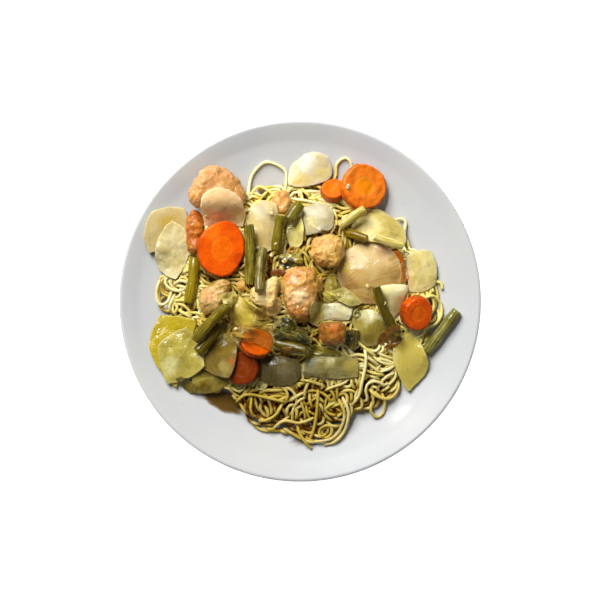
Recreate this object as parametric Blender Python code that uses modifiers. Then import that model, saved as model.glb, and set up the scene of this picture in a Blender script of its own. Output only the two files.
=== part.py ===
"""A dinner plate of egg noodles topped with chicken, carrot, onion, cabbage and green beans.

+Z is up, +Y is the far side of the plate, and the origin is the middle of the plate's foot on
the table. Sizes and places in the tables below are millimetres, and MM makes them metres.

The food is laid the way a cook lays it. The noodle heap goes on the plate, then each topping is
put down in turn from the lowest to the highest, and comes to rest on what already lies there.
"""

import math
import random
from dataclasses import dataclass

import bmesh
import bpy
import numpy as np
from mathutils import Matrix, Vector, noise

MM = 0.001

# Plate: a shallow coupe with a rounded lip and a recessed foot
PLATE_RADIUS = 135.0
PLATE_HEIGHT = 23.0
PLATE_SEGMENTS = 56
PLATE_WALL = 4.6
FLOOR_HEIGHT = 6.5
FLOOR_RADIUS = 62.0
LIP_RADIUS = 1.7
WALL_CURVE = 1.9
WALL_RINGS = 5
WALL_RING_SPACING = 0.8
LIP_ANGLES = (90, 30, -40)
FOOT_OUTER = 84.0
FOOT_INNER = 77.0
FOOT_DRAFT = 2.0
FOOT_RECESS = 1.9

# Noodle heap: a low dome with an uneven outline, pressed onto the plate
HEAP_RADIUS = 96.0
HEAP_OVAL = 4.0
HEAP_SHIFT = -1.5
HEAP_RIPPLE = 2.2
HEAP_RIPPLES = 5
HEAP_RIPPLE_START = 0.6
HEAP_HEIGHT = 16.0
HEAP_SHOULDER = 2.3
HEAP_FALL = 0.75
HEAP_EDGE = 3.4
HEAP_EDGE_LOSS = 0.4
HEAP_LUMP = 1.6
HEAP_LUMP_SPAN = 24.0
HEAP_SEGMENTS = 30
HEAP_RINGS = 12

# Noodles that show on the heap
NOODLE_RADIUS = 1.4
NOODLE_SUNK = 0.65
NOODLE_STEP = 7.0
NOODLE_POINTS = 17
NOODLE_STARTS = 90
NOODLE_REACH = 0.93
NOODLE_LEAN = 0.7
NOODLE_BENDS = (0.2, 0.5)
NOODLE_SWAYS = (0.2, 0.45)
NOODLE_SWAY_STEP = 0.9
NOODLE_SHORTEST = 4
NOODLE_SPACING = 12.0
NOODLE_TOTAL_POINTS = 190
NOODLE_SEED = 11

# What keeps separate pieces apart. The margins are how many cells round a point must be clear
GAP = 0.38
PILE_HALF = 138.0
PILE_CELL = 0.5
SAMPLE_STEP = 1.1
STEEPEST = 0.42
SLOPE_STEPS = 11
HEAP_MARGIN = 1
STIFF_MARGIN = 2
SHEET_MARGIN = 3
NOODLE_MARGIN = 5
PRESS_ROUNDS = 14

# Onion petals are stiff and cabbage leaves limp: how often each is evened out as it drapes
ONION_EVENING = 6
CABBAGE_EVENING = 3
SHEET_CELLS = 5
SMALL_SHEET_CELLS = 4
SMALL_SHEET_LENGTH = 27.0
SHEET_WAVE = 1.1
SHEET_WAVE_SPAN = 11.0

BEAN_POINTS = 6
BEAN_END = 0.9
SLICE_SIDES = 18
SLICE_BEVEL = 0.9
SLICE_EDGE_ANGLE = 50.0
SLICE_THREE_LOBES = 0.025
SLICE_FIVE_LOBES = 0.015
CHUNK_SWELL = 1.1
CHUNK_ROUNDING = 0.16
CHUNK_UNEVEN = 0.12

CARROT = (0.86, 0.22, 0.02)
CHICKEN = (0.72, 0.40, 0.16)
ONION = (0.78, 0.70, 0.50)
CABBAGE = (0.62, 0.56, 0.18)
BEAN = (0.17, 0.20, 0.05)
NOODLE = (0.72, 0.58, 0.24)
GLAZE = (0.80, 0.80, 0.79)


@dataclass
class Slice:
    """A carrot slice, cut across the root."""

    name: str
    centre: tuple
    half_axes: tuple
    thickness: float
    turn: float = 0.0


@dataclass
class Chunk:
    """A piece of chicken: its four corners in order, seen from above, and its height."""

    name: str
    corners: tuple
    height: float
    seed: int


@dataclass
class Bean:
    """A cut green bean from one end to the other, bowed sideways by bow."""

    name: str
    start: tuple
    end: tuple
    radius: float
    bow: float = 0.0


@dataclass
class Sheet:
    """An onion petal or cabbage leaf: four corners in order, and how far each side bulges out."""

    name: str
    corners: tuple
    bulges: tuple
    thickness: float
    crown: float
    evening: int
    colour: tuple


def onion(name, corners, bulges, crown=3.0, thickness=2.2):
    """An onion petal, which is stiff and keeps its own curve."""
    return Sheet(name, corners, bulges, thickness, crown, ONION_EVENING, ONION)


def cabbage(name, corners, bulges, crown=1.2, thickness=1.3):
    """A cabbage leaf, which is limp and follows what it lies on."""
    return Sheet(name, corners, bulges, thickness, crown, CABBAGE_EVENING, CABBAGE)


# The toppings, from the lowest to the highest
TOPPINGS = (
    onion("onion_petal_far_left", ((-113, 36), (-111, 66), (-86, 69), (-84, 44)), (5, 2, 1, 2)),
    cabbage("cabbage_leaf_pale_left", ((-108, 30), (-96, 59), (-82, 44), (-93, 15)), (4, 3, 3, 3), 2.0),
    Chunk("chicken_strip_left", ((-84, 33), (-84, 65), (-71, 65), (-74, 35)), 10, 3),
    Chunk("chicken_back_left", ((-87, 67), (-75, 98), (-50, 97), (-36, 69)), 19, 5),
    Chunk("chicken_front_left", ((-74, -12), (-74, 9), (-50, 15), (-57, -9)), 14, 21),
    Chunk("chicken_pale_mid", ((-33, -5), (-39, 6), (-16, 18), (-17, -7)), 12, 24),
    Chunk("chicken_cube_front", ((15, -33), (14, -18), (35, -18), (32, -33)), 15, 12),
    Chunk("chicken_small_back", ((-21, 63), (-20, 80), (-8, 82), (-8, 64)), 11, 8),
    Slice("carrot_slice_right_back", (70.5, 28), (6.5, 8.5), 6.5, 0),
    onion("onion_petal_large", ((28, 28), (60, 42), (74, 8), (40, -2)), (5, 7, 5, 4), 7.0, 2.6),
    Chunk("chicken_large_mid", ((-9, -15), (-14, 22), (14, 22), (9, -14)), 18, 31),
    Chunk("chicken_mid_right", ((8, 28), (9, 46), (33, 47), (30, 23)), 15, 33),
    onion("onion_petal_back_left", ((-71, 55), (-72, 76), (-46, 76), (-43, 55)), (1, 5, 3, 0), 3.5),
    Bean("bean_left", (-79, 31), (-83, -2), 4.2, 1.5),
    Slice("carrot_slice_large_left", (-58.5, 37), (17.5, 21), 7.5, -14),
    onion("onion_petal_back", ((-9, 86), (2, 108), (19, 109), (22, 91)), (4, 3, 3, 3), 4.0),
    Slice("carrot_slice_small_back", (24.5, 82), (9, 8.2), 8, 25),
    Slice("carrot_slice_large_back", (47, 84), (18, 17), 7, 20),
    onion("onion_petal_mid_left", ((-38, 39), (-37, 69), (-17, 70), (-16, 38)), (1, 4, 1, 3), 3.5),
    onion("onion_petal_mid_back", ((3, 68), (22, 69), (24, 53), (6, 48)), (3, 2, 2, 1), 3.5),
    cabbage("cabbage_leaf_mid_back", ((-9, 58), (2, 60), (2, 42), (-6, 38)), (2, 1, 1, 2), 2.0),
    Bean("bean_stub_back", (-0.5, 71), (-8.5, 58), 4.6),
    cabbage("cabbage_leaf_back_right", ((38, 46), (46, 64), (74, 58), (78, 41)), (3, 5, 3, 2), 4.0),
    Bean("bean_back_right_low", (33, 51), (50, 44), 3.4),
    Bean("bean_right_back", (54, 45), (76, 40), 3.2, -1.0),
    Bean("bean_back_right", (29, 54), (48, 67), 3.7),
    cabbage("cabbage_leaf_right", ((80, 33), (98, 37), (100, 10), (81, 6)), (2, 3, 2, 0.5), 2.5),
    onion("onion_petal_right", ((59, 9), (79, 10), (73, -10), (62, -14)), (1, 1, 2, 2), 3.5),
    Slice("carrot_slice_right", (86, -10), (12, 12.8), 9, 0),
    onion("onion_petal_front_right", ((39, -13), (58, -9), (64, -21), (50, -35)), (3, 1, 3, 3), 4.0),
    Bean("bean_front_dark", (-17, -19), (6, -26), 3.4),
    Bean("bean_front_mid", (-15, -25), (8, -32), 3.6, 1.0),
    Bean("bean_front", (-18, -33), (5, -38), 3.8),
    onion("onion_petal_front", ((-30, -43), (-1, -45), (-3, -61), (-28, -60)), (1, 2, 3, 3), 3.0),
    onion("onion_petal_long_front", ((1, -55), (6, -44), (43, -44), (43, -57)), (1, 1, 0, 2), 3.0),
    Bean("bean_front_right", (41, -22), (38, -36), 3.2),
    cabbage("cabbage_strip_mid", ((17, -1), (20.5, 17), (27, 16), (24, -2)), (0, 1, 2, 1), 1.5),
    cabbage("cabbage_leaf_glossy", ((14, -15), (17, -4), (38, -4), (36, -15)), (0, 1, 2, 0), 2.0),
    cabbage("cabbage_strip_right", ((21, 5), (32, 9), (46, -3), (35, -5)), (0, 1, 1, 1), 1.5),
    Bean("bean_mid_cross", (-15, 31), (2, 28), 3.2),
    Bean("bean_mid_left", (-37.5, 55), (-38, 11), 4.0, 1.0),
    Bean("bean_mid_split", (-28.5, 38), (-28.5, 4), 4.0, -1.0),
    Bean("bean_mid_back", (-13, 62), (-19, 36), 4.0),
    cabbage("cabbage_leaf_yellow_left", ((-113, -34), (-105, -11), (-77, -15), (-92, -66)), (1, 1, 1, 3), 1.5),
    cabbage("cabbage_leaf_front_left", ((-81, -69), (-78, -53), (-58, -51), (-54, -63)), (1, 3, 2, 3), 2.0),
    Slice("carrot_slice_front_low", (-42, -51), (12.5, 12.5), 7, 0),
    onion("onion_petal_front_left", ((-71, -51), (-63, -31), (-46, -34), (-51, -57)), (2, 2, 1, 2), 2.5),
    cabbage("cabbage_leaf_square", ((-106, -33), (-84, -20), (-70, -50), (-98, -63)), (1, 2, 2, 2), 2.5),
    Slice("carrot_slice_front", (-32, -33), (12.5, 11), 7, 10),
    cabbage("cabbage_leaf_mid_left", ((-50, 3), (-40, 0), (-19, -16), (-49, -19)), (0, 0, 3, 3), 2.0),
    cabbage("cabbage_leaf_clear", ((-52, -31), (-49, -19), (-20, -20), (-20, -39)), (0, 0, 1, -3), 1.2, 1.0),
    Bean("bean_front_left_dark", (-56, -17), (-76, -39), 4.3),
    Bean("bean_front_left", (-52, -4), (-77, -31), 4.2, -1.0),
    Bean("bean_right", (55, 9), (73.5, -26), 3.6, -2.5),
    Bean("bean_far_right", (117, -8), (94, -39), 4.4),
    onion("onion_petal_far_right", ((69, -39), (81, -25), (96, -47), (81, -68)), (3, 3, 2, 3), 2.5, 2.0),
)

# Noodles that stray over the plate, as the points that each one passes
LOOSE_NOODLES = (
    ((-36, 68), (-36, 81), (-34, 92), (-28, 102), (-20, 103), (-13, 99), (-11, 91), (-11, 80), (-12, 68)),
    ((20, 74), (23, 90), (25, 102), (31, 108), (37, 107), (41, 103)),
    ((58, 54), (66, 61), (74, 63), (80, 61), (81, 54), (79, 45), (77, 36)),
    ((88, 4), (96, 11), (101, 14), (107, 13)),
    ((86, 0), (99, 5), (105, -1), (104, -11), (96, -17), (86, -20)),
    ((48, -66), (50, -77), (51, -84), (56, -88), (61, -85), (62, -77), (60, -66)),
    ((20, -66), (29, -74), (35, -84), (34, -94), (25, -101), (15, -104)),
    ((-6, -76), (-1, -88), (4, -99), (8, -109)),
    ((-90, 34), (-104, 26), (-110, 17), (-106, 8), (-97, 8), (-88, 14)),
)


def smooth_step(share):
    """A share from 0 to 1 with a soft start and end."""
    return share * share * (3 - 2 * share)


def plate_height(radius):
    """Height of the plate's eating surface at this radius."""
    share = max(0.0, (radius - FLOOR_RADIUS) / (PLATE_RADIUS - FLOOR_RADIUS))
    return FLOOR_HEIGHT + (PLATE_HEIGHT - FLOOR_HEIGHT) * share**WALL_CURVE


def new_object(name, data, collection, colour, roughness=0.4):
    """An object in the collection, with a material of its own."""
    material = bpy.data.materials.new(name)
    material.use_nodes = True
    shader = material.node_tree.nodes["Principled BSDF"]
    shader.inputs["Base Color"].default_value = (*colour, 1.0)
    shader.inputs["Roughness"].default_value = roughness
    shader.inputs["Metallic"].default_value = 0.0
    data.materials.append(material)
    made = bpy.data.objects.new(name, data)
    collection.objects.link(made)
    return made


def object_from(bm, name, collection, colour, roughness=0.4):
    """An object that holds a finished bmesh."""
    mesh = bpy.data.meshes.new(name)
    bm.to_mesh(mesh)
    bm.free()
    mesh.shade_smooth()
    return new_object(name, mesh, collection, colour, roughness)


def shape_of(piece):
    """The evaluated points, in metres in the world, and the triangles of an object."""
    bpy.context.view_layer.update()
    evaluated = piece.evaluated_get(bpy.context.evaluated_depsgraph_get())
    mesh = evaluated.to_mesh()
    mesh.calc_loop_triangles()
    points = np.array([evaluated.matrix_world @ vertex.co for vertex in mesh.vertices])
    triangles = np.array([triangle.vertices for triangle in mesh.loop_triangles])
    evaluated.to_mesh_clear()
    return points, triangles


def spread(heights, reach, keep):
    """Each cell takes the highest or lowest value within reach cells of it."""
    for axis in (0, 1):
        shifted = [np.roll(heights, step, axis) for step in range(-reach, reach + 1)]
        heights = keep.reduce(shifted)
    return heights


class Pile:
    """The heights of what has been laid on the plate, over a square grid seen from above."""

    def __init__(self):
        count = int(2 * PILE_HALF / PILE_CELL) + 1
        self.tops = np.full((count, count), -1.0)
        self.undersides = np.full((count, count), 1.0)

    def cell(self, across):
        """The grid index of a place in metres along one axis."""
        last = len(self.tops) - 1
        return np.clip(np.rint((across / MM + PILE_HALF) / PILE_CELL), 0, last).astype(int)

    def add(self, piece, topping=True):
        """Lays a piece, so that later ones rest on it."""
        points, triangles = shape_of(piece)
        for corners in points[triangles]:
            self.add_triangle(corners, topping)

    def add_triangle(self, corners, topping):
        """Raises the cells under one triangle to it, and notes where it hangs over them."""
        low, high = corners.min(0), corners.max(0)
        columns = np.arange(self.cell(low[0]), self.cell(high[0]) + 1)
        rows = np.arange(self.cell(low[1]), self.cell(high[1]) + 1)
        x, y = np.meshgrid(
            (columns * PILE_CELL - PILE_HALF) * MM, (rows * PILE_CELL - PILE_HALF) * MM, indexing="ij"
        )
        a, b, c = corners
        area = (b[0] - a[0]) * (c[1] - a[1]) - (c[0] - a[0]) * (b[1] - a[1])
        if abs(area) < 1e-12:
            return
        share_b = ((x - a[0]) * (c[1] - a[1]) - (c[0] - a[0]) * (y - a[1])) / area
        share_c = ((b[0] - a[0]) * (y - a[1]) - (x - a[0]) * (b[1] - a[1])) / area
        inside = (share_b >= 0) & (share_c >= 0) & (share_b + share_c <= 1)
        heights = a[2] + share_b * (b[2] - a[2]) + share_c * (c[2] - a[2])
        window = np.ix_(columns, rows)
        self.tops[window] = np.where(inside, np.maximum(self.tops[window], heights), self.tops[window])
        if topping:
            lowered = np.minimum(self.undersides[window], heights)
            self.undersides[window] = np.where(inside, lowered, self.undersides[window])


def face_samples(points, triangles):
    """Points spread over every triangle, about SAMPLE_STEP apart."""
    found = [points]
    for a, b, c in points[triangles]:
        longest = max(np.linalg.norm(b - a), np.linalg.norm(c - a), np.linalg.norm(c - b))
        count = max(1, math.ceil(longest / (SAMPLE_STEP * MM)))
        shares = [
            (i / count, j / count) for i in range(count + 1) for j in range(count + 1 - i)
        ]
        share_b, share_c = np.array(shares).T[:, :, None]
        found.append(a + share_b * (b - a) + share_c * (c - a))
    return np.concatenate(found)


def tilt(slope_x, slope_y):
    """The turn that leans a level piece to these slopes."""
    normal = Vector((-slope_x, -slope_y, 1.0)).normalized()
    return Vector((0.0, 0.0, 1.0)).rotation_difference(normal).to_matrix()


def come_to_rest(piece, centre, pile):
    """Leans and lowers a stiff piece, centred on its own origin, until it lies as low as it can."""
    samples = face_samples(*shape_of(piece))
    ground_map = spread(pile.tops, STIFF_MARGIN, np.maximum)
    centre = np.array(centre) * MM
    slopes = np.linspace(-STEEPEST, STEEPEST, SLOPE_STEPS)
    best = None
    for slope_x in slopes:
        for slope_y in slopes:
            leant = samples @ np.array(tilt(slope_x, slope_y)).T
            x, y = leant[:, 0] + centre[0], leant[:, 1] + centre[1]
            ground = ground_map[pile.cell(x), pile.cell(y)]
            height = (ground + GAP * MM - leant[:, 2]).max()
            if best is None or height < best[0]:
                best = (height, slope_x, slope_y)
    height, slope_x, slope_y = best
    piece.matrix_world = Matrix.Translation((*centre, height)) @ tilt(slope_x, slope_y).to_4x4()
    pile.add(piece)


def make_slice(item, collection, pile):
    """A carrot slice: a short cylinder, slightly out of round, with softened edges."""
    bm = bmesh.new()
    bmesh.ops.create_cone(
        bm, cap_ends=True, segments=SLICE_SIDES, radius1=1.0, radius2=1.0, depth=item.thickness * MM
    )
    turned = Matrix.Rotation(math.radians(item.turn), 3, "Z")
    for vertex in bm.verts:
        around = math.atan2(vertex.co.y, vertex.co.x)
        lobes = SLICE_THREE_LOBES * math.sin(3 * around + item.centre[0])
        uneven = 1 + lobes + SLICE_FIVE_LOBES * math.sin(5 * around)
        vertex.co.x *= item.half_axes[0] * MM * uneven
        vertex.co.y *= item.half_axes[1] * MM * uneven
        vertex.co = turned @ vertex.co
    made = object_from(bm, item.name, collection, CARROT)
    made.data.set_sharp_from_angle(angle=math.radians(SLICE_EDGE_ANGLE))
    bevel = made.modifiers.new("soft edge", "BEVEL")
    bevel.width = SLICE_BEVEL * MM
    bevel.segments = 1
    bevel.limit_method = "ANGLE"
    bevel.angle_limit = math.radians(SLICE_EDGE_ANGLE)
    come_to_rest(made, item.centre, pile)


def make_chunk(item, collection, pile):
    """A chicken piece: a cube cage whose points are pulled about, rounded by subdivision."""
    bm = bmesh.new()
    bmesh.ops.create_cube(bm, size=2.0)
    bmesh.ops.subdivide_edges(bm, edges=bm.edges, cuts=1, use_grid_fill=True)
    draw = random.Random(item.seed)
    a, b, c, d = (Vector(corner) for corner in item.corners)
    centre = (a + b + c + d) / 4
    for vertex in bm.verts:
        corner = abs(vertex.co.x * vertex.co.y * vertex.co.z)
        swell = CHUNK_SWELL * (1.0 - CHUNK_ROUNDING * corner)
        x, y, z = (axis * swell + draw.uniform(-CHUNK_UNEVEN, CHUNK_UNEVEN) for axis in vertex.co)
        place = a.lerp(d, (x + 1) / 2).lerp(b.lerp(c, (x + 1) / 2), (y + 1) / 2) - centre
        vertex.co = Vector((place.x, place.y, z * item.height / 2)) * MM
    made = object_from(bm, item.name, collection, CHICKEN, 0.5)
    rounding = made.modifiers.new("rounding", "SUBSURF")
    rounding.levels = rounding.render_levels = 1
    come_to_rest(made, centre, pile)


def make_bean(item, collection, pile):
    """A green bean: a tube along a bowed line, slimmer at its ends, with cut ends."""
    start, end = Vector(item.start), Vector(item.end)
    middle = (start + end) / 2
    along = (end - start).normalized()
    aside = Vector((-along.y, along.x))
    curve = bpy.data.curves.new(item.name, "CURVE")
    curve.dimensions = "3D"
    curve.bevel_depth = item.radius * MM
    curve.bevel_resolution = 2
    curve.use_fill_caps = True
    spline = curve.splines.new("POLY")
    spline.points.add(BEAN_POINTS - 1)
    for index, point in enumerate(spline.points):
        share = index / (BEAN_POINTS - 1)
        arch = 4 * share * (1 - share)
        place = (start.lerp(end, share) + aside * item.bow * arch - middle) * MM
        point.co = (place.x, place.y, 0.0, 1.0)
        point.radius = BEAN_END + (1 - BEAN_END) * arch
    made = new_object(item.name, curve, collection, BEAN)
    come_to_rest(made, middle, pile)


def side_point(start, end, bulge, share):
    """A point along one side of a sheet, which bulges to the left of its run."""
    run = end - start
    outward = Vector((-run.y, run.x)).normalized()
    return start + run * share + outward * bulge * 4 * share * (1 - share)


def sheet_point(item, u, v):
    """A place inside the sheet's four bulging sides, from its two shares across."""
    a, b, c, d = (Vector(corner) for corner in item.corners)
    left = side_point(a, b, item.bulges[0], v)
    far = side_point(b, c, item.bulges[1], u)
    right = side_point(c, d, item.bulges[2], 1 - v)
    near = side_point(d, a, item.bulges[3], 1 - u)
    between_sides = left.lerp(right, u) + near.lerp(far, v)
    between_corners = a.lerp(d, u).lerp(b.lerp(c, u), v)
    return between_sides - between_corners


def drape(bm, evening, crown, ground):
    """Lowers a sheet onto the ground, evens it out, and arches it by its own crown."""
    ground_at = {vertex: ground(vertex.co.x, vertex.co.y) + GAP * MM for vertex in bm.verts}
    for vertex, height in ground_at.items():
        vertex.co.z = height
    for _ in range(evening):
        evened = {
            vertex: sum(edge.other_vert(vertex).co.z for edge in vertex.link_edges) / len(vertex.link_edges)
            for vertex in bm.verts
        }
        for vertex, height in evened.items():
            vertex.co.z = max(ground_at[vertex], (vertex.co.z + height) / 2)
    for vertex in bm.verts:
        vertex.co.z += crown[vertex]


def press_clear(bm, ground):
    """Raises the sheet's points until no part of any face is in the ground."""
    for _ in range(PRESS_ROUNDS):
        worst = 0.0
        points = np.array([vertex.co for vertex in bm.verts])
        for face in bm.faces:
            corners = [vertex.index for vertex in face.verts]
            samples = face_samples(points[corners], np.array([[0, 1, 2]]))
            sunk = (ground(samples[:, 0], samples[:, 1]) + GAP * MM - samples[:, 2]).max()
            worst = max(worst, sunk)
            if sunk > 0:
                for vertex in face.verts:
                    vertex.co.z = max(vertex.co.z, points[vertex.index][2] + sunk)
        if worst <= 0:
            return


def make_sheet(item, collection, pile):
    """An onion petal or a leaf: a thin wavy sheet, draped over what lies below it."""
    a, b, c, d = (Vector(corner) for corner in item.corners)
    longest = max((c - a).length, (d - b).length)
    cells = SHEET_CELLS if longest > SMALL_SHEET_LENGTH else SMALL_SHEET_CELLS
    bm = bmesh.new()
    bmesh.ops.create_grid(bm, x_segments=cells, y_segments=cells, size=0.5)
    shares = {vertex: (vertex.co.x + 0.5, vertex.co.y + 0.5) for vertex in bm.verts}
    crown = {}
    for vertex, (u, v) in shares.items():
        place = sheet_point(item, u, v)
        wave = noise.noise(Vector((place.x, place.y, 0.0)) / SHEET_WAVE_SPAN)
        arch = 16 * u * (1 - u) * v * (1 - v)
        crown[vertex] = (item.crown * arch + SHEET_WAVE * item.thickness * max(0.0, wave)) * MM
        vertex.co = (place.x * MM, place.y * MM, 0.0)
    bmesh.ops.recalc_face_normals(bm, faces=bm.faces)
    if sum(face.normal.z for face in bm.faces) < 0:
        bmesh.ops.reverse_faces(bm, faces=bm.faces)
    bmesh.ops.triangulate(bm, faces=bm.faces)
    bm.verts.index_update()
    ground_map = spread(pile.tops, SHEET_MARGIN, np.maximum)

    def ground(x, y):
        return ground_map[pile.cell(x), pile.cell(y)]

    drape(bm, item.evening, crown, ground)
    press_clear(bm, ground)
    made = object_from(bm, item.name, collection, item.colour)
    solid = made.modifiers.new("thickness", "SOLIDIFY")
    solid.thickness = item.thickness * MM
    solid.offset = 1.0
    pile.add(made)


def make_plate(collection, pile):
    """The plate: half its section turned about the middle."""
    rings = [
        FLOOR_RADIUS
        + (PLATE_RADIUS - 2 * LIP_RADIUS - FLOOR_RADIUS) * (index / WALL_RINGS) ** WALL_RING_SPACING
        for index in range(WALL_RINGS + 1)
    ]
    inner = [(radius, plate_height(radius)) for radius in rings]
    lip_centre = (PLATE_RADIUS - LIP_RADIUS, PLATE_HEIGHT - LIP_RADIUS)
    lip = [
        (
            lip_centre[0] + LIP_RADIUS * math.cos(math.radians(angle)),
            lip_centre[1] + LIP_RADIUS * math.sin(math.radians(angle)),
        )
        for angle in LIP_ANGLES
    ]
    under = [(radius, plate_height(radius) - PLATE_WALL) for radius in rings[-2:1:-1]]
    foot = [
        (FOOT_OUTER + FOOT_DRAFT, plate_height(FOOT_OUTER) - PLATE_WALL),
        (FOOT_OUTER, 0.0),
        (FOOT_INNER, 0.0),
        (FOOT_INNER - FOOT_DRAFT, FOOT_RECESS),
        (0.0, FOOT_RECESS),
    ]
    under = [point for point in under if point[0] > FOOT_OUTER + 2 * FOOT_DRAFT]
    section = [(0.0, FLOOR_HEIGHT), *inner, *lip, *under, *foot]
    mesh = bpy.data.meshes.new("plate")
    points = [(radius * MM, 0.0, height * MM) for radius, height in section]
    mesh.from_pydata(points, [(i, i + 1) for i in range(len(points) - 1)], [])
    made = new_object("plate", mesh, collection, GLAZE, 0.2)
    turned = made.modifiers.new("turned", "SCREW")
    turned.steps = turned.render_steps = PLATE_SEGMENTS
    turned.use_merge_vertices = True
    turned.merge_threshold = 0.00005
    pile.add(made, topping=False)


def heap_outline(around):
    """The heap's radius in the direction around."""
    oval = HEAP_OVAL * math.cos(2 * around) + HEAP_SHIFT * math.sin(around)
    return HEAP_RADIUS + oval + HEAP_RIPPLE * math.sin(HEAP_RIPPLES * around + HEAP_RIPPLE_START)


def make_heap(collection, pile):
    """The bare noodle heap: a sphere flattened into a dome above and onto the plate below."""
    bm = bmesh.new()
    bmesh.ops.create_uvsphere(bm, u_segments=HEAP_SEGMENTS, v_segments=HEAP_RINGS, radius=1.0)
    ground_map = spread(pile.tops, HEAP_MARGIN, np.maximum)
    for vertex in bm.verts:
        share = min(1.0, math.hypot(vertex.co.x, vertex.co.y))
        around = math.atan2(vertex.co.y, vertex.co.x)
        radius = heap_outline(around) * share * MM
        upper = vertex.co.z > -1e-4
        vertex.co.x, vertex.co.y = radius * math.cos(around), radius * math.sin(around)
        floor = ground_map[pile.cell(vertex.co.x), pile.cell(vertex.co.y)] + GAP * MM
        dome = HEAP_HEIGHT * max(0.0, 1 - share**HEAP_SHOULDER) ** HEAP_FALL
        lump = HEAP_LUMP * noise.noise(vertex.co / (HEAP_LUMP_SPAN * MM)) * (1 - share**6)
        edge = HEAP_EDGE * (1 - HEAP_EDGE_LOSS * share)
        vertex.co.z = floor + ((edge + dome + lump) * MM if upper else 0.0)
    made = object_from(bm, "noodles", collection, NOODLE)
    pile.add(made, topping=False)
    return made


def through(points):
    """A smooth line through a few points, as places about NOODLE_STEP apart."""
    guides = [Vector(point) for point in points]
    guides = [2 * guides[0] - guides[1], *guides, 2 * guides[-1] - guides[-2]]
    line = []
    for before, start, end, after in zip(guides, guides[1:], guides[2:], guides[3:]):
        steps = max(1, round((end - start).length / NOODLE_STEP))
        for step in range(steps):
            t = step / steps
            bend = (end - before) * t + (2 * before - 5 * start + 4 * end - after) * t * t
            bend += (3 * start - before - 3 * end + after) * t**3
            line.append(start + bend / 2)
    return [*line, guides[-2]]


def wandering_noodles():
    """Noodles over the whole heap: each starts at an even spread of places and keeps turning."""
    draw = random.Random(NOODLE_SEED)
    golden_angle = math.pi * (3 - math.sqrt(5))
    for index in range(NOODLE_STARTS):
        around = index * golden_angle
        away = NOODLE_REACH * heap_outline(around) * math.sqrt((index + 0.5) / NOODLE_STARTS)
        place = Vector((away * math.cos(around), away * math.sin(around)))
        heading = around + math.pi / 2 + draw.uniform(-NOODLE_LEAN, NOODLE_LEAN)
        bend = draw.choice((-1, 1)) * draw.uniform(*NOODLE_BENDS)
        sway = draw.uniform(*NOODLE_SWAYS)
        line = []
        for step in range(NOODLE_POINTS):
            line.append(place.copy())
            heading += bend + sway * math.sin(step * NOODLE_SWAY_STEP + index)
            place += Vector((math.cos(heading), math.sin(heading))) * NOODLE_STEP
            edge = heap_outline(math.atan2(place.y, place.x))
            if place.length > edge:
                place *= edge / place.length
        yield line


def is_clear(start, end, ceiling):
    """Whether a noodle's straight stretch between two places lies under no topping that it reaches."""
    for share in (0.0, 0.25, 0.5, 0.75, 1.0):
        place = start.lerp(end, share)
        if ceiling(place.x, place.y) < place.z + (NOODLE_RADIUS + GAP) * MM:
            return False
    return True


def uncovered_runs(line, ceiling, bed):
    """The stretches of a noodle's line that lie clear of every topping, with their heights."""
    places = []
    for place in line:
        x, y = place.x * MM, place.y * MM
        places.append(Vector((x, y, bed(x, y) + (1 - NOODLE_SUNK) * NOODLE_RADIUS * MM)))
    run = [places[0]]
    for place in places[1:]:
        if is_clear(run[-1], place, ceiling):
            run.append(place)
            continue
        if len(run) >= NOODLE_SHORTEST:
            yield run
        run = [place]
    if len(run) >= NOODLE_SHORTEST:
        yield run


def spread_out(runs, kept):
    """The kept runs with the longest others added, none close to another at its middle."""
    kept = list(kept)
    for run in sorted(runs, key=len, reverse=True):
        middle = run[len(run) // 2]
        crowded = any((middle - other[len(other) // 2]).length < NOODLE_SPACING * MM for other in kept)
        if not crowded and sum(map(len, kept)) + len(run) <= NOODLE_TOTAL_POINTS:
            kept.append(run)
    return kept


def noodle_mesh(run, collection):
    """One noodle as a closed tube with few sides."""
    curve = bpy.data.curves.new("noodle", "CURVE")
    curve.dimensions = "3D"
    curve.bevel_depth = NOODLE_RADIUS * MM
    curve.bevel_resolution = 1
    curve.use_fill_caps = True
    spline = curve.splines.new("POLY")
    spline.points.add(len(run) - 1)
    for point, place in zip(spline.points, run):
        point.co = (*place, 1.0)
    guide = bpy.data.objects.new("noodle", curve)
    collection.objects.link(guide)
    bpy.context.view_layer.update()
    evaluated = guide.evaluated_get(bpy.context.evaluated_depsgraph_get())
    mesh = bpy.data.meshes.new_from_object(evaluated)
    bm = bmesh.new()
    bm.from_mesh(mesh)
    bmesh.ops.remove_doubles(bm, verts=bm.verts, dist=0.00001)
    bm.to_mesh(mesh)
    bm.free()
    tube = bpy.data.objects.new("noodle_tube", mesh)
    tube.matrix_world = guide.matrix_world
    collection.objects.link(tube)
    bpy.data.objects.remove(guide)


def drop_scraps(mesh):
    """Keeps only the largest connected body of a mesh."""
    bm = bmesh.new()
    bm.from_mesh(mesh)
    unseen, bodies = set(bm.verts), []
    while unseen:
        body, edge_of_search = set(), [unseen.pop()]
        while edge_of_search:
            vertex = edge_of_search.pop()
            body.add(vertex)
            near = {edge.other_vert(vertex) for edge in vertex.link_edges} & unseen
            unseen -= near
            edge_of_search.extend(near)
        bodies.append(body)
    largest = max(bodies, key=len)
    bmesh.ops.delete(bm, geom=[vertex for vertex in bm.verts if vertex not in largest], context="VERTS")
    bm.to_mesh(mesh)
    bm.free()


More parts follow.
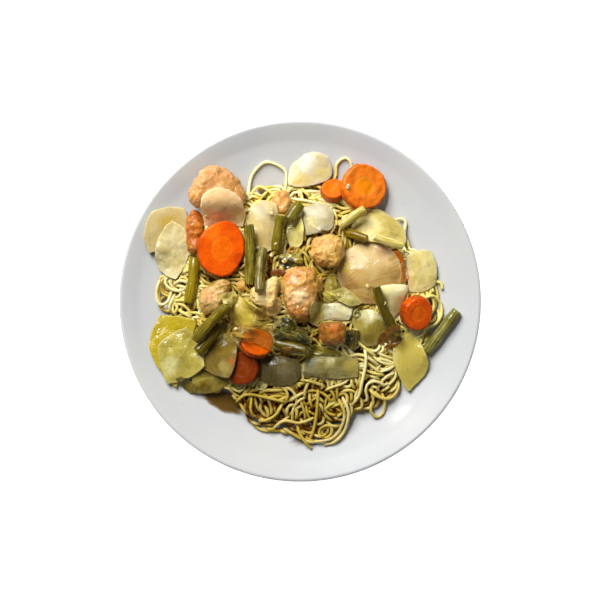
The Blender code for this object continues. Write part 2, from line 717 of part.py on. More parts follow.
def fuse_noodles(heap, pile, bare_tops, plate_tops):
    """Joins the noodles that show to the heap, clear of the plate and of every topping."""
    tubes = bpy.data.collections.new("noodle_tubes")
    bpy.context.scene.collection.children.link(tubes)
    reach = math.ceil((NOODLE_RADIUS + GAP) / PILE_CELL)
    ceiling_map = spread(pile.undersides, reach, np.minimum)
    plate_map = spread(plate_tops, NOODLE_MARGIN, np.maximum)

    def ceiling(x, y):
        return ceiling_map[pile.cell(x), pile.cell(y)]

    def bed(x, y):
        """The heap's surface, or the height at which a noodle clears the plate."""
        on_plate = plate_map[pile.cell(x), pile.cell(y)] + (NOODLE_SUNK * NOODLE_RADIUS + GAP) * MM
        return max(bare_tops[pile.cell(x), pile.cell(y)], on_plate)

    runs = [run for line in wandering_noodles() for run in uncovered_runs(line, ceiling, bed)]
    loose = [run for line in map(through, LOOSE_NOODLES) for run in uncovered_runs(line, ceiling, bed)]
    for run in spread_out(runs, loose):
        noodle_mesh(run, tubes)
    union = heap.modifiers.new("fuse", "BOOLEAN")
    union.operation = "UNION"
    union.operand_type = "COLLECTION"
    union.collection = tubes
    union.solver = "MANIFOLD"
    bpy.context.view_layer.update()
    fused = bpy.data.meshes.new_from_object(heap.evaluated_get(bpy.context.evaluated_depsgraph_get()))
    heap.modifiers.clear()
    heap.data = fused
    for tube in list(tubes.objects):
        bpy.data.objects.remove(tube)
    bpy.data.collections.remove(tubes)
    drop_scraps(heap.data)
    heap.data.shade_smooth()


def main():
    """Clears the scene and lays the meal."""
    for existing in list(bpy.data.objects):
        bpy.data.objects.remove(existing)
    collection = bpy.data.collections.new("noodle_plate")
    bpy.context.scene.collection.children.link(collection)
    makers = {Slice: make_slice, Chunk: make_chunk, Bean: make_bean, Sheet: make_sheet}
    pile = Pile()
    make_plate(collection, pile)
    plate_tops = pile.tops.copy()
    heap = make_heap(collection, pile)
    bare_tops = pile.tops.copy()
    for item in TOPPINGS:
        makers[type(item)](item, collection, pile)
    fuse_noodles(heap, pile, bare_tops, plate_tops)


main()
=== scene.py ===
"""The looks of a plate of egg noodles topped with chicken, carrot, onion, cabbage and green beans.

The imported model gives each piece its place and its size. Each topping starts from its own solid,
which is refined and dressed, and the noodles are laid strand by strand between the plate and the
toppings. Sizes are millimetres unless a name says otherwise, and MM turns them into metres.
"""

import logging
import math
import random
from dataclasses import dataclass, field
from enum import Enum
from functools import partial
from typing import Callable

import bpy
import bmesh
import numpy as np
from mathutils import Matrix, Vector, kdtree, noise


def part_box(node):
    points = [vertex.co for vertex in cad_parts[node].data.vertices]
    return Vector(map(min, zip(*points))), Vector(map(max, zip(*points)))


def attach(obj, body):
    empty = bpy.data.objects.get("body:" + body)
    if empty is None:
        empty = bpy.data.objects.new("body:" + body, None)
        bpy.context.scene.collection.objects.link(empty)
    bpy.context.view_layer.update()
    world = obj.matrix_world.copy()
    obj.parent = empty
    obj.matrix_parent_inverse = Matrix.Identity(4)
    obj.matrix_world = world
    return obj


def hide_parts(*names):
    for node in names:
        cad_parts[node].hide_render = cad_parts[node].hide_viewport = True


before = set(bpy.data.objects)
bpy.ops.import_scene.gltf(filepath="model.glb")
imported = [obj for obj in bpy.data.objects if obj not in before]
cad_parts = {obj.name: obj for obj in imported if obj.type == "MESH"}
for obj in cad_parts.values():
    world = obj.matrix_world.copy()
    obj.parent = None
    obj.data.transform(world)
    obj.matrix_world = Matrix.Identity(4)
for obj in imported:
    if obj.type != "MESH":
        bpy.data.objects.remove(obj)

LOG = logging.getLogger("noodle_plate")
MM = 0.001
# The middle of the photograph and the width of one of its pixels on the table, in millimetres
PHOTO_MIDDLE = 300
PIXEL_MM = 0.75
# Where a ray that looks for the highest food starts, in metres
DROP_HEIGHT = 0.3
# Heights in metres for a place where nothing lies and for one that nothing covers
NOTHING, SKY = -1.0, 1.0
FOOD_IOR = 1.38
WHITE = (1.0, 1.0, 1.0, 1.0)

Shade = tuple[float, float, float]
Spot = tuple[float, float]
Socket = bpy.types.NodeSocket
Material = bpy.types.Material
Mesh = bpy.types.Mesh
Piece = bpy.types.Object
BLACK: Shade = (0, 0, 0)


def tone(shade: Shade) -> tuple[float, float, float, float]:
    """A colour for a shader, in linear light, from its red, green and blue on a screen, 0 to 255.

    Args:
        shade: Its red, green and blue on a screen, from 0 to 255.

    Returns:
        Its red, green, blue and full alpha.
    """
    shares = (value / 255 for value in shade)
    linear = (((share + 0.055) / 1.055) ** 2.4 if share > 0.04 else share / 12.92 for share in shares)
    return (*linear, 1.0)


class Wiring:
    """Places and links the nodes of one shader tree."""

    def __init__(self, tree: bpy.types.NodeTree) -> None:
        """Starts on a tree.

        Args:
            tree: The node tree of a material or a group.
        """
        self.tree = tree

    def add(self, kind: str, inputs: dict | None = None, **settings: object) -> bpy.types.Node:
        """Adds one node.

        Args:
            kind: The node's type.
            inputs: Values or sockets for its inputs, by name or place.
            settings: Its other settings.

        Returns:
            The new node.
        """
        made = self.tree.nodes.new(kind)
        for key, value in settings.items():
            setattr(made, key, value)
        for key, value in (inputs or {}).items():
            if isinstance(value, Socket):
                self.tree.links.new(value, made.inputs[key])
            else:
                made.inputs[key].default_value = value
        return made

    def attribute(self, name: str, output: str = "Vector") -> Socket:
        """The piece's own attribute of that name."""
        return self.add("ShaderNodeAttribute", attribute_name=name).outputs[output]

    def place(self) -> Socket:
        """The point's place in the piece, in metres."""
        return self.add("ShaderNodeTexCoord").outputs["Object"]

    def stretched(self, vector: Socket, sizes: tuple[float, float, float]) -> Socket:
        """A vector divided by a size in millimetres along each axis."""
        scale = tuple(1 / (size * MM) for size in sizes)
        return self.add("ShaderNodeVectorMath", {0: vector, 1: scale}, operation="MULTIPLY").outputs[0]

    def cloud(
        self, size: float, detail: float = 2.0, twist: float = 0.0, vector: Socket | None = None
    ) -> Socket:
        """Soft noise.

        Args:
            size: The size of its lumps in millimetres.
            detail: How many finer layers it has.
            twist: How much it is distorted.
            vector: Where it is read, in metres, if that isn't the point's own place.

        Returns:
            Its value, mostly from 0.3 to 0.7.
        """
        vector = vector or self.place()
        values = {"Vector": vector, "Scale": 1 / (size * MM), "Detail": detail, "Distortion": twist}
        return self.add("ShaderNodeTexNoise", values).outputs[0]

    def raw_cloud(self, vector: Socket, detail: float = 2.0, twist: float = 0.0) -> Socket:
        """Soft noise on a vector that is already stretched to its lumps' size."""
        return self.cloud(1 / MM, detail, twist, vector)

    def rise(self, value: Socket, low: float, high: float) -> Socket:
        """A soft step from 0 to 1 as the value goes from low to high."""
        values = {"Value": value, "From Min": low, "From Max": high}
        return self.add("ShaderNodeMapRange", values, interpolation_type="SMOOTHSTEP").outputs[0]

    def between(self, value: Socket, low: float, high: float) -> Socket:
        """A value from 0 to 1 spread from low to high."""
        values = {"Value": value, "To Min": low, "To Max": high}
        return self.add("ShaderNodeMapRange", values).outputs[0]

    def maths(self, operation: str, first: object, second: object = 0.0) -> Socket:
        """The result of one sum on two values."""
        return self.add("ShaderNodeMath", {0: first, 1: second}, operation=operation).outputs[0]

    def times(self, first: object, second: object) -> Socket:
        """The product of two values."""
        return self.maths("MULTIPLY", first, second)

    def blend(self, share: object, low: object, high: object, mode: str = "MIX") -> Socket:
        """A colour between two others, each of them a shade or a socket.

        Args:
            share: How much of the second shows, from 0 to 1.
            low: The first.
            high: The second.
            mode: How they are mixed.

        Returns:
            The mixed colour.
        """
        low, high = (end if isinstance(end, Socket) else tone(end) for end in (low, high))
        made = self.add("ShaderNodeMix", {0: share, 6: low, 7: high}, data_type="RGBA", blend_type=mode)
        return made.outputs[2]

    def relief(self, height: Socket, depth: float, under: Socket | None = None) -> Socket:
        """A normal for a surface with fine relief.

        Args:
            height: The relief, from 0 to 1.
            depth: How deep it is, in millimetres.
            under: The normal of coarser relief below it.

        Returns:
            The normal.
        """
        values = {"Height": height, "Distance": depth * MM, "Strength": 1.0}
        if under is not None:
            values["Normal"] = under
        return self.add("ShaderNodeBump", values).outputs[0]


class Group(Wiring):
    """A shader group that several materials share."""

    def __init__(self, name: str, inputs: dict[str, str], outputs: dict[str, str]) -> None:
        """Makes an empty group.

        Args:
            name: The group's name.
            inputs: Each input's socket type, by its name.
            outputs: Each output's socket type, by its name.
        """
        super().__init__(bpy.data.node_groups.new(name, "ShaderNodeTree"))
        for way, sockets in (("INPUT", inputs), ("OUTPUT", outputs)):
            for label, kind in sockets.items():
                self.tree.interface.new_socket(label, in_out=way, socket_type=kind)
        self.entry = self.add("NodeGroupInput").outputs
        self.exit = self.add("NodeGroupOutput").inputs

    def send(self, name: str, value: Socket) -> None:
        """Links a value to one of the group's outputs."""
        self.tree.links.new(value, self.exit[name])


def pepper_group() -> bpy.types.NodeTree:
    """Scattered specks, such as ground pepper.

    Returns:
        A group that puts out a mask, 1 on each speck.
    """
    group = Group(
        "pepper_specks",
        {"Vector": "NodeSocketVector", "Spacing": "NodeSocketFloat", "Size": "NodeSocketFloat",
         "Share": "NodeSocketFloat"},
        {"Mask": "NodeSocketFloat"},
    )
    per_metre = group.maths("DIVIDE", 1000.0, group.entry["Spacing"])
    cells = group.add("ShaderNodeTexVoronoi", {"Vector": group.entry["Vector"], "Scale": per_metre})
    near = group.maths("LESS_THAN", cells.outputs["Distance"], group.entry["Size"])
    draw = group.add("ShaderNodeSeparateColor", {0: cells.outputs["Color"]}).outputs[0]
    chosen = group.maths("LESS_THAN", draw, group.entry["Share"])
    group.send("Mask", group.times(near, chosen))
    return group.tree


def moisture_group() -> bpy.types.NodeTree:
    """A wet film of sauce and oil that is thicker in some places.

    Returns:
        A group that puts out how wet each place is, and a soft normal for the film.
    """
    group = Group(
        "moisture",
        {"Vector": "NodeSocketVector", "Patch Size": "NodeSocketFloat", "Depth": "NodeSocketFloat"},
        {"Wet": "NodeSocketFloat", "Normal": "NodeSocketVector"},
    )
    per_metre = group.maths("DIVIDE", 1000.0, group.entry["Patch Size"])
    patches = group.add(
        "ShaderNodeTexNoise", {"Vector": group.entry["Vector"], "Scale": per_metre, "Detail": 2.0}
    ).outputs[0]
    ripples = group.add(
        "ShaderNodeTexNoise",
        {"Vector": group.entry["Vector"], "Scale": group.times(per_metre, 2.7), "Detail": 1.0},
    ).outputs[0]
    group.send("Wet", group.rise(patches, 0.38, 0.62))
    depth = group.times(group.entry["Depth"], MM)
    bump = group.add("ShaderNodeBump", {"Height": ripples, "Distance": depth, "Strength": 1.0})
    group.send("Normal", bump.outputs[0])
    return group.tree


PEPPER = pepper_group()
PEPPER_SHADE: Shade = (58, 42, 24)
MOISTURE = moisture_group()


@dataclass(frozen=True)
class Gloss:
    """How a food shines and lets light in.

    Attributes:
        dry: Roughness where the film is thin.
        wet: Roughness where the film is thick.
        glow: How much light scatters inside, from 0 to 1.
        reach: How far that light travels, in millimetres of red, green and blue.
        coat: The strength of the clear film on top.
        film: How uneven the film is, in millimetres.
        patch: The size of the film's patches in millimetres.
        shine: The strength of its reflections, from 0 to 1.
    """

    dry: float = 0.45
    wet: float = 0.22
    glow: float = 0.25
    reach: tuple[float, float, float] = (3.0, 1.6, 0.7)
    coat: float = 0.04
    film: float = 0.15
    patch: float = 7.0
    shine: float = 0.28


class Dressing(Wiring):
    """A material with its Principled shader, and what most of the foods share."""

    def __init__(self, name: str, gloss: Gloss) -> None:
        """Makes a material with an even gloss.

        Args:
            name: The material's name.
            gloss: How it shines.
        """
        self.material = bpy.data.materials.new(name)
        self.material.use_nodes = True
        super().__init__(self.material.node_tree)
        self.shader = self.tree.nodes["Principled BSDF"]
        self.gloss = gloss
        self.hold({"Subsurface Weight": gloss.glow, "Subsurface Radius": gloss.reach})
        self.hold({"Subsurface Scale": MM})
        self.hold({"Coat Weight": gloss.coat, "Coat Roughness": 0.1})
        self.hold({"IOR": FOOD_IOR, "Specular IOR Level": gloss.shine})

    def hold(self, values: dict[str, object]) -> None:
        """Sets the shader's own sockets, by name."""
        for name, value in values.items():
            self.shader.inputs[name].default_value = value

    def feed(self, name: str, value: Socket) -> None:
        """Links a value to one of the shader's inputs."""
        self.tree.links.new(value, self.shader.inputs[name])

    def group(self, tree: bpy.types.NodeTree, inputs: dict) -> bpy.types.Node:
        """Places a shared group with its own values."""
        return self.add("ShaderNodeGroup", inputs, node_tree=tree)

    def moisten(self) -> Socket:
        """Lays the wet film over the surface.

        Returns:
            The film's normal.
        """
        film = self.group(
            MOISTURE, {"Vector": self.place(), "Patch Size": self.gloss.patch, "Depth": self.gloss.film}
        )
        self.feed("Roughness", self.between(film.outputs["Wet"], self.gloss.dry, self.gloss.wet))
        return film.outputs["Normal"]

    def cover(self, colour: Socket, height: Socket, depth: float) -> Material:
        """Gives the shader its colour and its relief under the wet film.

        Args:
            colour: The colour.
            height: The relief, from 0 to 1.
            depth: How deep it is, in millimetres.

        Returns:
            The material.
        """
        self.feed("Base Color", colour)
        self.feed("Normal", self.relief(height, depth, self.moisten()))
        return self.material

    def tinted(self, colour: Socket) -> Socket:
        """The colour with the piece's own patches painted over it.

        Args:
            colour: The colour below the patches.

        Returns:
            The colour with them.
        """
        patches = self.add("ShaderNodeAttribute", attribute_name="tint").outputs
        under = self.blend(patches["Alpha"], colour, BLACK)
        return self.blend(1.0, under, patches["Color"], "ADD")

    def peppered(self, colour: Socket, share: float) -> Socket:
        """The colour with dark specks of pepper on a share of the cells."""
        specks = self.group(PEPPER, {"Vector": self.place(), "Spacing": 3.2, "Size": 0.13, "Share": share})
        return self.blend(specks.outputs["Mask"], colour, PEPPER_SHADE)


@dataclass(frozen=True)
class GlazeFinish:
    """White stoneware glaze with faint pin marks."""

    body: Shade = (198, 198, 196)
    cool: Shade = (193, 195, 196)
    mark: Shade = (168, 142, 126)

    def material(self, name: str) -> Material:
        """The glaze as a material.

        Args:
            name: The material's name.

        Returns:
            The material.
        """
        made = Dressing(name, Gloss(dry=0.46, wet=0.38, glow=0.0, coat=0.03, film=0.1, patch=38.0))
        soft = made.rise(made.cloud(46.0, 3.0), 0.35, 0.68)
        colour = made.blend(soft, self.body, self.cool)
        marks = made.group(PEPPER, {"Vector": made.place(), "Spacing": 11.0, "Size": 0.035, "Share": 0.3})
        colour = made.blend(marks.outputs["Mask"], colour, self.mark)
        return made.cover(colour, made.cloud(1.6), 0.012)


@dataclass(frozen=True)
class NoodleFinish:
    """Cooked egg noodle, glossy with oil and browner with sauce, with painted shade on the noodles down in
    the heap.
    """

    pale: Shade = (252, 240, 184)
    golden: Shade = (242, 222, 130)
    # shaded and deep are painted shade: shaded for noodles that lie below their neighbours, deep for those
    # that are soaked as well
    shaded: Shade = (234, 206, 84)
    soaked: Shade = (170, 142, 30)
    deep: Shade = (112, 66, 0)

    def material(self, name: str) -> Material:
        """The noodles as a material, which reads each strand's own draw, its depth for the painted shade,
        and its sauce.

        Args:
            name: The material's name.

        Returns:
            The material.
        """
        gloss = Gloss(dry=0.4, wet=0.2, glow=0.5, reach=(3.0, 2.4, 1.0), film=0.05, patch=9.0)
        made = Dressing(name, gloss)
        strand = made.attribute("strand", "Fac")
        drift = made.cloud(14.0, 2.0)
        share = made.rise(made.maths("ADD", strand, drift), 0.45, 1.35)
        colour = made.blend(share, self.pale, self.golden)
        # Painted shade: the lower a noodle lies among its neighbours, the more it turns to the shaded
        # colour, and, where soaked, to the deep colour
        shade_depth = made.rise(made.attribute("depth", "Fac"), 0.05, 0.85)
        colour = made.blend(made.times(shade_depth, 0.8), colour, self.shaded)
        soak = made.times(made.attribute("soak", "Fac"), made.between(strand, 0.8, 1.15))
        stained = made.times(soak, made.between(shade_depth, 0.8, 1.0))
        colour = made.blend(stained, colour, self.soaked)
        colour = made.blend(made.times(shade_depth, made.between(soak, 0.12, 1.0)), colour, self.deep)
        return made.cover(colour, made.cloud(0.9), 0.03)


@dataclass(frozen=True)
class CarrotFinish:
    """Cooked carrot: a core, a bright ring round it, streaked flesh and a darker skin."""

    flesh: Shade = (238, 92, 2)
    core: Shade = (242, 106, 3)
    ring: Shade = (250, 126, 14)
    skin: Shade = (176, 62, 3)
    core_share: float = 0.42
    streaks: float = 0.0

    def material(self, name: str) -> Material:
        """The carrot as a material, which reads each point's place in the slice.

        Args:
            name: The material's name.

        Returns:
            The material.
        """
        gloss = Gloss(dry=0.36, wet=0.13, glow=0.2, reach=(4.0, 1.4, 0.3), film=0.2, patch=5.0)
        made = Dressing(name, gloss)
        slice_place = made.attribute("slice")
        parts = made.add("ShaderNodeSeparateXYZ", {0: slice_place}).outputs
        flat = made.add("ShaderNodeCombineXYZ", {0: parts[0], 1: parts[1]}).outputs[0]
        radius = made.add("ShaderNodeVectorMath", {0: flat}, operation="LENGTH").outputs["Value"]
        outward = made.add("ShaderNodeVectorMath", {0: flat}, operation="NORMALIZE").outputs[0]
        wobble = made.times(made.raw_cloud(outward, 2.0), 0.16)
        radius = made.maths("SUBTRACT", made.maths("ADD", radius, 0.08), wobble)
        rays = made.add("ShaderNodeVectorMath", {0: outward, "Scale": 9.0}, operation="SCALE").outputs[0]
        streaks = made.rise(made.raw_cloud(rays, 3.0), 0.42, 0.62)
        inner = made.rise(radius, self.core_share - 0.05, self.core_share + 0.03)
        around_ring = made.maths("ABSOLUTE", made.maths("SUBTRACT", radius, self.core_share))
        on_ring = made.maths("SUBTRACT", 1.0, made.rise(around_ring, 0.005, 0.07))
        colour = made.blend(inner, self.core, self.flesh)
        lines = made.times(made.times(streaks, inner), self.streaks)
        colour = made.blend(lines, colour, self.ring)
        colour = made.blend(made.times(on_ring, 0.5), colour, self.ring)
        colour = made.blend(made.rise(radius, 0.9, 1.0), colour, self.skin)
        mottle = made.times(made.rise(made.cloud(5.0, 3.0), 0.48, 0.72), 0.25)
        colour = made.tinted(made.blend(mottle, colour, self.skin))
        return made.cover(colour, made.cloud(0.8, 3.0), 0.09)


@dataclass(frozen=True)
class ChickenFinish:
    """Fried chicken breast: pale meat, pinker hollows darkened with painted shade, white fibres and browned
    ridges.
    """

    meat: Shade = (226, 180, 112)
    # hollow is the colour of the relief's hollows: pinker meat, darkened as painted shade
    hollow: Shade = (210, 144, 74)
    browned: Shade = (176, 104, 34)
    fibre: Shade = (240, 204, 146)
    browning: float = 0.5
    flaking: float = 0.45

    def material(self, name: str) -> Material:
        """The chicken as a material, which reads the relief, the patches and the grain.

        Args:
            name: The material's name.

        Returns:
            The material.
        """
        gloss = Gloss(0.38, 0.14, 0.3, (3.5, 1.6, 0.8), film=0.25, patch=4.0, shine=0.4)
        made = Dressing(name, gloss)
        crag = made.attribute("crag", "Fac")
        grain = made.stretched(made.attribute("grain"), (7.0, 0.9, 0.9))
        fibres = made.rise(made.raw_cloud(grain, 3.0, 0.3), 0.5, 0.68)
        scorch = made.cloud(6.0, 4.0, 0.4)
        scorch = made.rise(scorch, 0.86 - self.browning, 1.1 - self.browning)
        colour = made.blend(made.times(scorch, 0.75), self.meat, self.browned)
        colour = made.tinted(colour)
        # Painted shade: the relief's hollows turn to the darker hollow colour
        colour = made.blend(made.between(crag, 0.6, 0.0), colour, self.hollow)
        flakes = made.rise(made.cloud(2.2, 3.0, 0.6), 0.52, 0.66)
        rough = made.attribute("rough", "Fac")
        flaky = made.times(rough, self.flaking)
        pale = made.times(made.maths("MAXIMUM", fibres, flakes), flaky)
        colour = made.blend(pale, colour, self.fibre)
        made.feed("Base Color", made.peppered(colour, 0.22))
        fine = made.relief(made.times(made.raw_cloud(grain, 4.0), rough), 0.2, made.moisten())
        crumbly = made.times(made.cloud(1.3, 3.0), rough)
        made.feed("Normal", made.relief(crumbly, 0.3, fine))
        return made.material


@dataclass(frozen=True)
class PetalFinish:
    """Cooked onion: milky flesh with fine fibres, a clear rim and a stained middle."""

    body: Shade = (221, 200, 140)
    shade: Shade = (186, 160, 80)
    rim: Shade = (236, 222, 176)
    lines: float = 0.2
    line_gap: float = 1.3
    banding: float = 0.35
    pepper: float = 0.06

    def material(self, name: str) -> Material:
        """The petal as a material, which reads the fibres' direction, the rim and the patches.

        Args:
            name: The material's name.

        Returns:
            The material.
        """
        gloss = Gloss(dry=0.32, wet=0.1, glow=0.5, reach=(6.0, 5.0, 3.6), film=0.25, patch=6.0)
        made = Dressing(name, gloss)
        grain = made.attribute("grain")
        fibres = made.raw_cloud(made.stretched(grain, (34.0, self.line_gap, 30.0)), 3.0)
        bands = made.raw_cloud(made.stretched(grain, (50.0, 6.0, 30.0)), 2.0)
        cloudy = made.cloud(12.0, 3.0, 0.5)
        share = made.times(made.rise(made.maths("ADD", bands, cloudy), 0.78, 1.3), self.banding)
        colour = made.tinted(made.blend(share, self.body, self.shade))
        lines = made.times(made.rise(fibres, 0.46, 0.64), self.lines)
        colour = made.blend(lines, colour, self.rim)
        colour = made.blend(made.times(made.attribute("rim", "Fac"), 0.6), colour, self.rim)
        return made.cover(made.peppered(colour, self.pepper), fibres, 0.05)


@dataclass(frozen=True)
class LeafFinish:
    """Braised cabbage: yellow-green with paler veins and a stained middle."""

    body: Shade = (196, 180, 88)
    shade: Shade = (150, 130, 32)
    vein: Shade = (216, 204, 138)
    pepper: float = 0.08
    clear: float = 0.0
    veining: float = 0.22
    shine: float = 0.3

    def material(self, name: str) -> Material:
        """The leaf as a material, which reads its veins, its rim and its patches.

        Args:
            name: The material's name.

        Returns:
            The material.
        """
        gloss = Gloss(0.34, 0.1, 0.25, (3.0, 3.2, 0.9), film=0.32, patch=5.0, shine=self.shine)
        made = Dressing(name, gloss)
        patches = made.cloud(13.0, 4.0, 0.8)
        blotches = made.times(made.rise(patches, 0.36, 0.7), 0.7)
        colour = made.tinted(made.blend(blotches, self.body, self.shade))
        grain = made.stretched(made.attribute("grain"), (22.0, 1.5, 30.0))
        fine = made.raw_cloud(grain, 3.0)
        pale = made.times(made.rise(fine, 0.48, 0.68), 0.75 * self.veining)
        colour = made.blend(pale, colour, self.vein)
        veins = made.times(made.attribute("vein", "Fac"), self.veining)
        colour = made.blend(veins, colour, self.vein)
        colour = made.blend(made.times(made.attribute("rim", "Fac"), 0.5), colour, self.vein)
        if self.clear:
            edge = made.rise(made.attribute("rim", "Fac"), 0.55, 0.95)
            made.feed("Alpha", made.between(edge, 1.0 - self.clear, 0.9))
        return made.cover(made.peppered(colour, self.pepper), fine, 0.08)


@dataclass(frozen=True)
class BeanFinish:
    """Cooked green bean: streaked olive skin, and a pale inside where it is cut."""

    skin: Shade = (128, 116, 38)
    dark: Shade = (82, 70, 12)
    pale: Shade = (172, 162, 94)

    def material(self, name: str) -> Material:
        """The bean as a material, which reads each point's place on the pod.

        Args:
            name: The material's name.

        Returns:
            The material.
        """
        gloss = Gloss(0.28, 0.1, 0.12, (1.4, 1.6, 0.5), film=0.14, patch=4.0, shine=0.42)
        made = Dressing(name, gloss)
        pod = made.attribute("pod")
        streaks = made.raw_cloud(made.stretched(pod, (14.0, 1.1, 1.1)), 3.0)
        colour = made.blend(made.rise(streaks, 0.36, 0.6), self.dark, self.skin)
        light = made.times(made.rise(streaks, 0.54, 0.7), 0.6)
        colour = made.blend(light, colour, self.pale)
        lumps_share = made.times(made.rise(made.cloud(6.0, 3.0), 0.46, 0.66), 0.5)
        colour = made.tinted(made.blend(lumps_share, colour, self.dark))
        return made.cover(made.blend(made.attribute("cut", "Fac"), colour, self.pale), streaks, 0.1)


@dataclass(frozen=True)
class SauceFinish:
    """Thin brown sauce with oil on it, through which the plate shows."""

    body: Shade = (104, 74, 20)
    thin: Shade = (150, 122, 58)
    strength: float = 0.95

    def material(self, name: str) -> Material:
        """The sauce as a material, which fades towards its rim.

        Args:
            name: The material's name.

        Returns:
            The material.
        """
        made = Dressing(name, Gloss(dry=0.1, wet=0.05, glow=0.0, coat=0.4, film=0.3, patch=9.0))
        rim = made.attribute("rim", "Fac")
        made.feed("Base Color", made.blend(rim, self.body, self.thin))
        made.feed("Normal", made.moisten())
        cloudy = made.times(made.cloud(6.0, 2.0), 0.4)
        solid = made.times(made.maths("SUBTRACT", 1.0, rim), self.strength)
        made.feed("Alpha", made.maths("SUBTRACT", solid, made.times(cloudy, solid)))
        return made.material


@dataclass(frozen=True)
class CrumbFinish:
    """Small bits, such as chopped garlic."""

    body: Shade = (240, 226, 172)
    shade: Shade = (206, 176, 92)

    def material(self, name: str) -> Material:
        """The bits as a material.

        Args:
            name: The material's name.

        Returns:
            The material.
        """
        made = Dressing(name, Gloss(dry=0.4, wet=0.2, glow=0.3, film=0.1, patch=3.0))
        soft = made.rise(made.cloud(3.0), 0.4, 0.6)
        made.feed("Base Color", made.blend(soft, self.body, self.shade))
        made.feed("Normal", made.moisten())
        return made.material


@dataclass(frozen=True)
class FloorFinish:
    """The white ground that the plate stands on."""

    body: Shade = (249.3, 249.3, 249.3)
    dull: Shade = (243.4, 243.4, 243.4)
    light: float = 0.88

    def material(self, name: str) -> Material:
        """The ground as a material.

        Args:
            name: The material's name.

        Returns:
            The material.
        """
        made = Dressing(name, Gloss(glow=0.0, coat=0.0))
        made.hold({"Roughness": 0.9, "Emission Color": WHITE, "Emission Strength": self.light})
        grain = made.times(made.cloud(90.0, 2.0), 0.02)
        made.feed("Base Color", made.blend(grain, self.body, self.dull))
        return made.material


def pick(piece: Piece) -> None:
    """Selects one object alone and makes it active.

    Args:
        piece: The object.
    """
    bpy.ops.object.select_all(action="DESELECT")
    piece.select_set(True)
    bpy.context.view_layer.objects.active = piece


def placed(name: str, data: bpy.types.ID) -> Piece:
    """A new object in the scene, selected alone.

    Args:
        name: Its name.
        data: Its mesh, curve, light or camera.

    Returns:
        The object.
    """
    made = bpy.data.objects.new(name, data)
    bpy.context.scene.collection.objects.link(made)
    pick(made)
    return made


def primitive(add: Callable, name: str, **sizes: object) -> Piece:
    """A new primitive.

    Args:
        add: The operator that adds it.
        name: Its name.
        sizes: What the operator is told.

    Returns:
        The primitive, selected alone.
    """
    bpy.ops.object.select_all(action="DESELECT")
    add(**sizes)
    made = bpy.context.object
    made.name = name
    return made


def edit_all(piece: Piece, *steps: Callable) -> None:
    """Runs steps on the whole mesh of a piece in edit mode.

    Args:
        piece: The piece.
        steps: The operators.
    """
    pick(piece)
    bpy.ops.object.mode_set(mode="EDIT")
    for step in steps:
        bpy.ops.mesh.select_all(action="SELECT")
        step()
    bpy.ops.object.mode_set(mode="OBJECT")


def refine(piece: Piece, levels: int) -> None:
    """Gives a piece a subdivision surface and applies its modifiers, in order.

    Args:
        piece: The piece.
        levels: How many times its faces are divided.
    """
    smooth = piece.modifiers.new("smooth", "SUBSURF")
    smooth.levels = smooth.render_levels = levels
    pick(piece)
    for modifier in list(piece.modifiers):
        bpy.ops.object.modifier_apply(modifier=modifier.name)


def points_of(mesh: Mesh) -> np.ndarray:
    """A mesh's points in metres, one to a row.

    Args:
        mesh: The mesh.

    Returns:
        Three columns of numbers.
    """
    found = np.zeros(len(mesh.vertices) * 3)
    mesh.vertices.foreach_get("co", found)
    return found.reshape(-1, 3)


def normals_of(mesh: Mesh) -> np.ndarray:
    """The normal at each of a mesh's points.

    Args:
        mesh: The mesh.

    Returns:
        Three columns of numbers.
    """
    found = np.zeros(len(mesh.vertices) * 3)
    mesh.vertex_normals.foreach_get("vector", found)
    return found.reshape(-1, 3)


def move_points(mesh: Mesh, points: np.ndarray) -> None:
    """Puts a mesh's points in new places."""
    mesh.vertices.foreach_set("co", points.astype(np.float32).ravel())
    mesh.update()


def note(mesh: Mesh, **attributes: np.ndarray | float) -> None:
    """Stores attributes on a mesh's points for its material.

    Args:
        mesh: The mesh.
        attributes: By its name, one number for all points, or a number or a vector for each.
    """
    for name, values in attributes.items():
        values = np.zeros(len(mesh.vertices)) + values if np.ndim(values) < 2 else values
        kind, key = ("FLOAT_VECTOR", "vector") if values.ndim == 2 else ("FLOAT", "value")
        stored = mesh.attributes.new(name, kind, "POINT")
        stored.data.foreach_set(key, values.astype(np.float32).ravel())


def turned(flat: np.ndarray, degrees: float) -> np.ndarray:
    """Flat places turned about the origin."""
    turn = math.radians(degrees)
    return flat @ np.array([[math.cos(turn), math.sin(turn)], [-math.sin(turn), math.cos(turn)]])


def lumps(points: np.ndarray, size: float, layers: int = 2, seed: int = 0) -> np.ndarray:
    """Soft noise in space.

    Args:
        points: Where it is read, in metres.
        size: The size of its lumps in millimetres.
        layers: How many finer layers it has.
        seed: Another seed gives other lumps.

    Returns:
        One value for each point, mostly from -0.6 to 0.6.
    """
    away = Vector((seed * 3.7, seed * 5.3, seed * 2.9))
    return np.array([noise.fractal(Vector(p) + away, 1.0, 2.1, layers) for p in points / (size * MM)])


def soft_step(values: np.ndarray, low: float, high: float) -> np.ndarray:
    """A soft step from 0 to 1 as the values go from low to high."""
    share = np.clip((values - low) / (high - low), 0.0, 1.0)
    return share * share * (3 - 2 * share)


def node_copy(node: str, name: str) -> Piece:
    """A copy of a CAD node as a clean mesh of its own.

    Args:
        node: The node.
        name: The copy's name.

    Returns:
        The copy, with its doubles merged and its triangles paired.
    """
    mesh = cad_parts[node].data.copy()
    mesh.materials.clear()
    made = placed(name, mesh)
    bpy.ops.mesh.customdata_custom_splitnormals_clear()
    limits = {"face_threshold": math.radians(35), "shape_threshold": math.radians(60)}
    edit_all(
        made,
        partial(bpy.ops.mesh.remove_doubles, threshold=0.00002),
        partial(bpy.ops.mesh.tris_convert_to_quads, **limits),
    )
    return made


